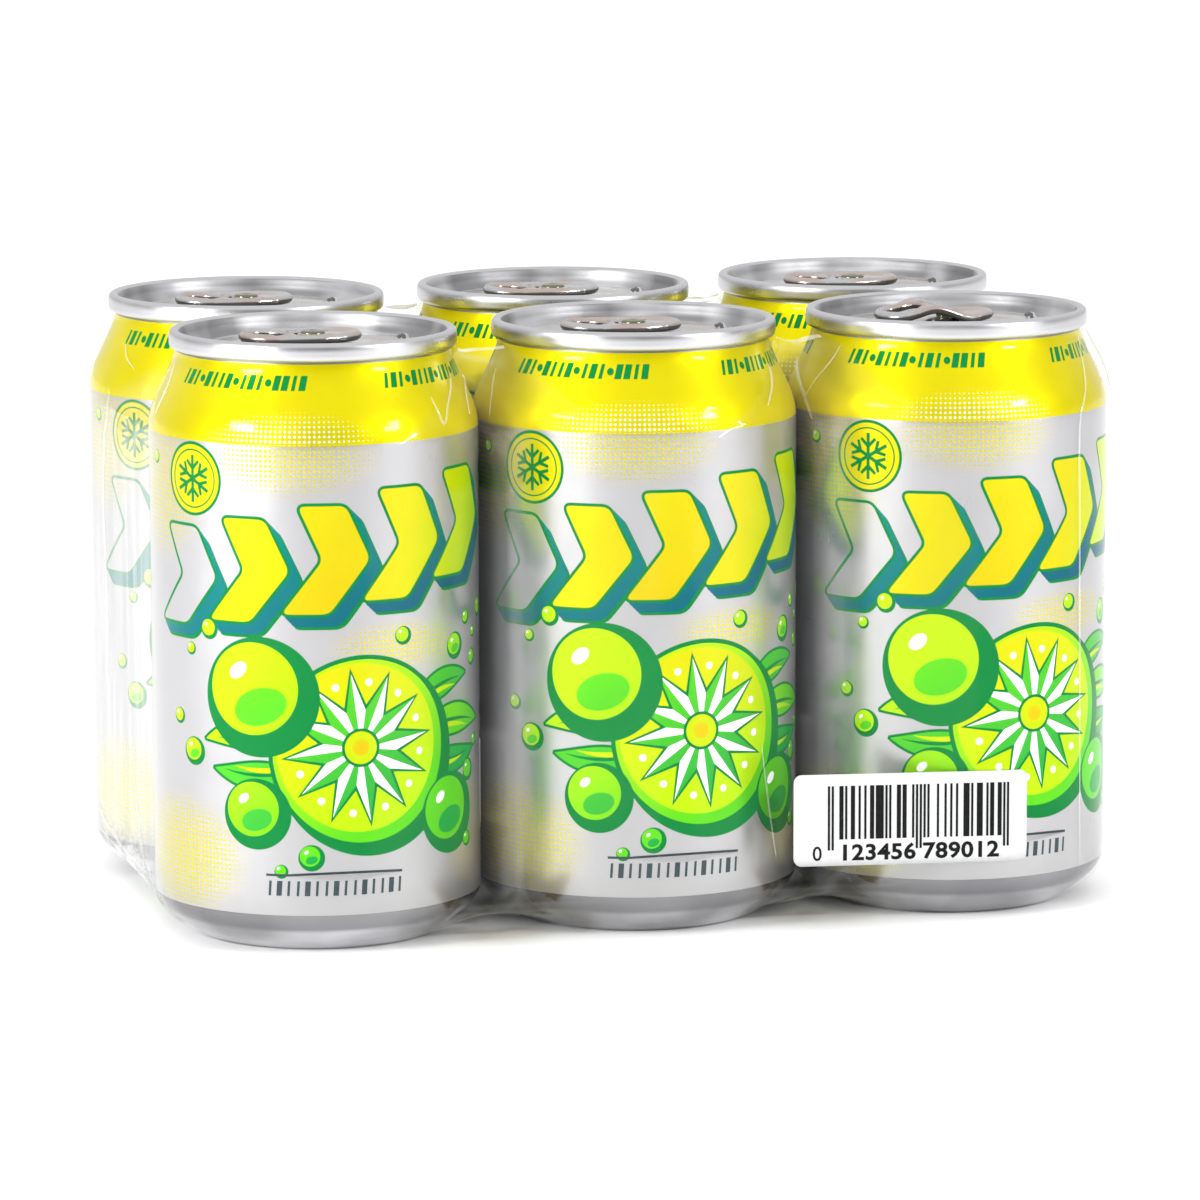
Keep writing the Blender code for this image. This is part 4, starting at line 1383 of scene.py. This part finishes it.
def digit_meshes():
    """The plain digits under the bars, as flat triangles in label millimetres."""
    out = []
    for txt, x, size in (("0", 3.9, 4.2), ("123456", 9.5, 4.5), ("789012", 27.2, 4.5)):
        cu = bpy.data.curves.new("digits", "FONT")
        cu.body = txt
        cu.size = size
        cu.space_character = 1.05
        cu.offset = 0.13 if len(txt) > 1 else 0.04
        cu.resolution_u = 3
        ob = bpy.data.objects.new("digits", cu)
        SCENE.collection.objects.link(ob)
        bpy.context.view_layer.update()
        me = bpy.data.meshes.new_from_object(ob)
        me.calc_loop_triangles()
        wide = 1.16 if len(txt) > 1 else 1.0
        v = [(p.co.x * wide + x, p.co.y) for p in me.vertices]
        out.append((v, [list(t.vertices) for t in me.loop_triangles]))
        bpy.data.objects.remove(ob)
        bpy.data.curves.remove(cu)
        bpy.data.meshes.remove(me)
    return out


def label_mesh():
    W, H, R = LABEL_X1 - LABEL_X0, LABEL_Z1 - LABEL_Z0, 1.7
    verts, faces, mats = [], [], []

    def sheet(x0, z0, x1, z1, off, mat, r=0.0, nx=48, nz=10, thick=0.0):
        xs = sorted({x0 + (x1 - x0) * i / nx for i in range(nx + 1)} | ({x0 + r * (1 - math.cos(PI / 2 * k / 6)) for k in range(7)} | {x1 - r * (1 - math.cos(PI / 2 * k / 6)) for k in range(7)} if r else set()))
        base = len(verts)
        for x in xs:
            d = min(x - x0, x1 - x)
            cut = r - math.sqrt(max(0.0, r * r - (r - d) ** 2)) if r and d < r else 0.0
            for k in range(nz + 1):
                verts.append(label_place(x, z0 + cut + (z1 - z0 - 2 * cut) * k / nz, off))
        for i in range(len(xs) - 1):
            for k in range(nz):
                q = [base + i * (nz + 1) + k, base + (i + 1) * (nz + 1) + k, base + (i + 1) * (nz + 1) + k + 1, base + i * (nz + 1) + k + 1]
                faces.append(q)
                mats.append(mat)
        if thick:
            back = len(verts)
            for x in xs:
                d = min(x - x0, x1 - x)
                cut = r - math.sqrt(max(0.0, r * r - (r - d) ** 2)) if r and d < r else 0.0
                for k in range(nz + 1):
                    verts.append(label_place(x, z0 + cut + (z1 - z0 - 2 * cut) * k / nz, off - thick))
            m_ = nz + 1
            for i in range(len(xs) - 1):
                for k in range(nz):
                    faces.append([back + i * m_ + k, back + i * m_ + k + 1, back + (i + 1) * m_ + k + 1, back + (i + 1) * m_ + k])
                    mats.append(mat)
                for k in (0, nz):
                    a, b = base + i * m_ + k, base + (i + 1) * m_ + k
                    c, d2 = back + (i + 1) * m_ + k, back + i * m_ + k
                    faces.append([a, d2, c, b] if k == 0 else [a, b, c, d2])
                    mats.append(mat)
            for i in (0, len(xs) - 1):
                for k in range(nz):
                    a, b = base + i * m_ + k, base + i * m_ + k + 1
                    c, d2 = back + i * m_ + k + 1, back + i * m_ + k
                    faces.append([a, b, c, d2] if i == 0 else [a, d2, c, b])
                    mats.append(mat)

    sheet(0.0, LABEL_Z0, W, LABEL_Z1, 0.20, 0, R, 48, 10, thick=0.12)
    # bars: left guard, two groups, middle and right guards
    pattern = "101" + "0001101" + "0011001" + "0010011" + "0111101" + "0100011" + "0110001" + "01010" + "1010000" + "1000100" + "1001000" + "1110100" + "1110010" + "1100110" + "101"
    x0, x1 = 7.2, 45.6
    step = (x1 - x0) / len(pattern)
    i = 0
    while i < len(pattern):
        if pattern[i] == "1":
            j = i
            while j < len(pattern) and pattern[j] == "1":
                j += 1
            guard = i < 3 or i >= len(pattern) - 3 or 45 <= i < 50
            sheet(x0 + (i - 0.10) * step, LABEL_Z0 + (3.2 if guard else 5.4), x0 + (j + 0.10) * step, LABEL_Z1 - 2.4, 0.235, 1, 0.0, 1, 2)
            i = j
        else:
            i += 1
    for v, t in digit_meshes():
        base = len(verts)
        for x, y in v:
            verts.append(label_place(x, LABEL_Z0 + 1.15 + y, 0.235))
        for tri in t:
            a, b, c = (v[k] for k in tri)
            if (b[0] - a[0]) * (c[1] - a[1]) - (b[1] - a[1]) * (c[0] - a[0]) < 0:
                tri = tri[::-1]
            faces.append([base + k for k in tri])
            mats.append(1)
    return mesh_from("label", np.array(verts) * MM, faces, mats, [M_PAPER, M_BLACK])


label = link("film_label_paper", label_mesh())
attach(label, "root")
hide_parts("film_label")


# ---------------------------------------------------------------- stage: pale floor, world and soft boxes
def stage():
    mat, n, out = blank("pale_floor")
    p = principled(n, out)
    obj = n.t.nodes.new("ShaderNodeTexCoord").outputs["Object"]
    n.put(p, "Base Color", n.mix(n.noise(obj, 6.0, 2.0, 0.5), (0.93, 0.93, 0.93), (0.95, 0.95, 0.95)))
    p.inputs["Roughness"].default_value = 0.6
    p.inputs["Specular IOR Level"].default_value = 0.2
    me = bpy.data.meshes.new("floor")
    s = 9.0
    me.from_pydata([(-s, -s, 0), (s, -s, 0), (s, s, 0), (-s, s, 0)], [], [(0, 1, 2, 3)])
    me.materials.append(mat)
    ob = link("floor", me)


stage()
world = bpy.data.worlds.new("studio")
SCENE.world = world
world.use_nodes = True
wn = Nodes(world.node_tree)
world.node_tree.nodes.clear()
wout = world.node_tree.nodes.new("ShaderNodeOutputWorld")
bg = world.node_tree.nodes.new("ShaderNodeBackground")
tc = world.node_tree.nodes.new("ShaderNodeTexCoord")
dot = world.node_tree.nodes.new("ShaderNodeVectorMath")
dot.operation = "DOT_PRODUCT"
world.node_tree.links.new(tc.outputs["Generated"], dot.inputs[0])
dot.inputs[1].default_value = (-math.sin(YAW), -math.cos(YAW), 0.0)
ramp = world.node_tree.nodes.new("ShaderNodeValToRGB")
ramp.color_ramp.interpolation = "EASE"
els = ramp.color_ramp.elements
els[0].position, els[0].color = 0.0, (0.80, 0.80, 0.80, 1)
els[1].position, els[1].color = 1.0, (0.07, 0.07, 0.075, 1)
for pos, v in ((0.35, 0.60), (0.62, 0.28), (0.85, 0.10)):
    e = els.new(pos)
    e.color = (v, v, v, 1)
world.node_tree.links.new(wn.span(dot.outputs["Value"], -1.0, 1.0, 0.0, 1.0), ramp.inputs[0])
tilt = world.node_tree.nodes.new("ShaderNodeSeparateXYZ")
world.node_tree.links.new(tc.outputs["Generated"], tilt.inputs[0])
world.node_tree.links.new(wn.mix(wn.span(tilt.outputs[2], 0.08, 0.62, 0.0, 1.0), ramp.outputs[0], (1.0, 1.0, 1.0)), bg.inputs[0])
bg.inputs[1].default_value = 1.0
backdrop = world.node_tree.nodes.new("ShaderNodeBackground")
backdrop.inputs[0].default_value = (1.0, 1.0, 1.0, 1.0)
seen = world.node_tree.nodes.new("ShaderNodeLightPath")
either = world.node_tree.nodes.new("ShaderNodeMixShader")
world.node_tree.links.new(seen.outputs["Is Camera Ray"], either.inputs[0])
world.node_tree.links.new(bg.outputs[0], either.inputs[1])
world.node_tree.links.new(backdrop.outputs[0], either.inputs[2])
world.node_tree.links.new(either.outputs[0], wout.inputs[0])


def soft_box(name, azimuth, elevation, distance, width, height, power, aim=(0, 0, 0.06)):
    """An area light. The azimuth is measured from the camera's side, positive to its right."""
    a = math.atan2(-math.cos(YAW), -math.sin(YAW)) + azimuth
    pos = Vector((distance * math.cos(elevation) * math.cos(a), distance * math.cos(elevation) * math.sin(a), distance * math.sin(elevation)))
    li = bpy.data.lights.new(name, "AREA")
    li.shape = "RECTANGLE"
    li.size, li.size_y = width, height
    li.energy = power
    ob = bpy.data.objects.new(name, li)
    ob.location = pos + Vector(aim)
    ob.rotation_euler = (Vector(aim) - ob.location).to_track_quat("-Z", "Y").to_euler()
    ob.visible_camera = False
    SCENE.collection.objects.link(ob)
    return ob


# standing soft boxes either side of the camera: a broad low panel and a thin bright upper one each
soft_box("left_low", math.radians(-52), math.radians(8), 0.85, 0.72, 0.24, 1.62)
soft_box("left_high", math.radians(-50), math.radians(22), 0.95, 0.26, 0.035, 4.7)
soft_box("right_low", math.radians(62), math.radians(8), 0.85, 0.46, 0.24, 0.45)
soft_box("right_high", math.radians(55), math.radians(22), 0.95, 0.16, 0.035, 3.0)


def overhead():
    """Even light from straight above, which keeps the floor white; it is left out of the reflections."""
    li = bpy.data.lights.new("overhead", "SUN")
    li.energy = 1.0
    li.angle = math.radians(100)
    ob = bpy.data.objects.new("overhead", li)
    ob.location = (0, 0, 2)
    ob.visible_glossy = False
    SCENE.collection.objects.link(ob)


overhead()
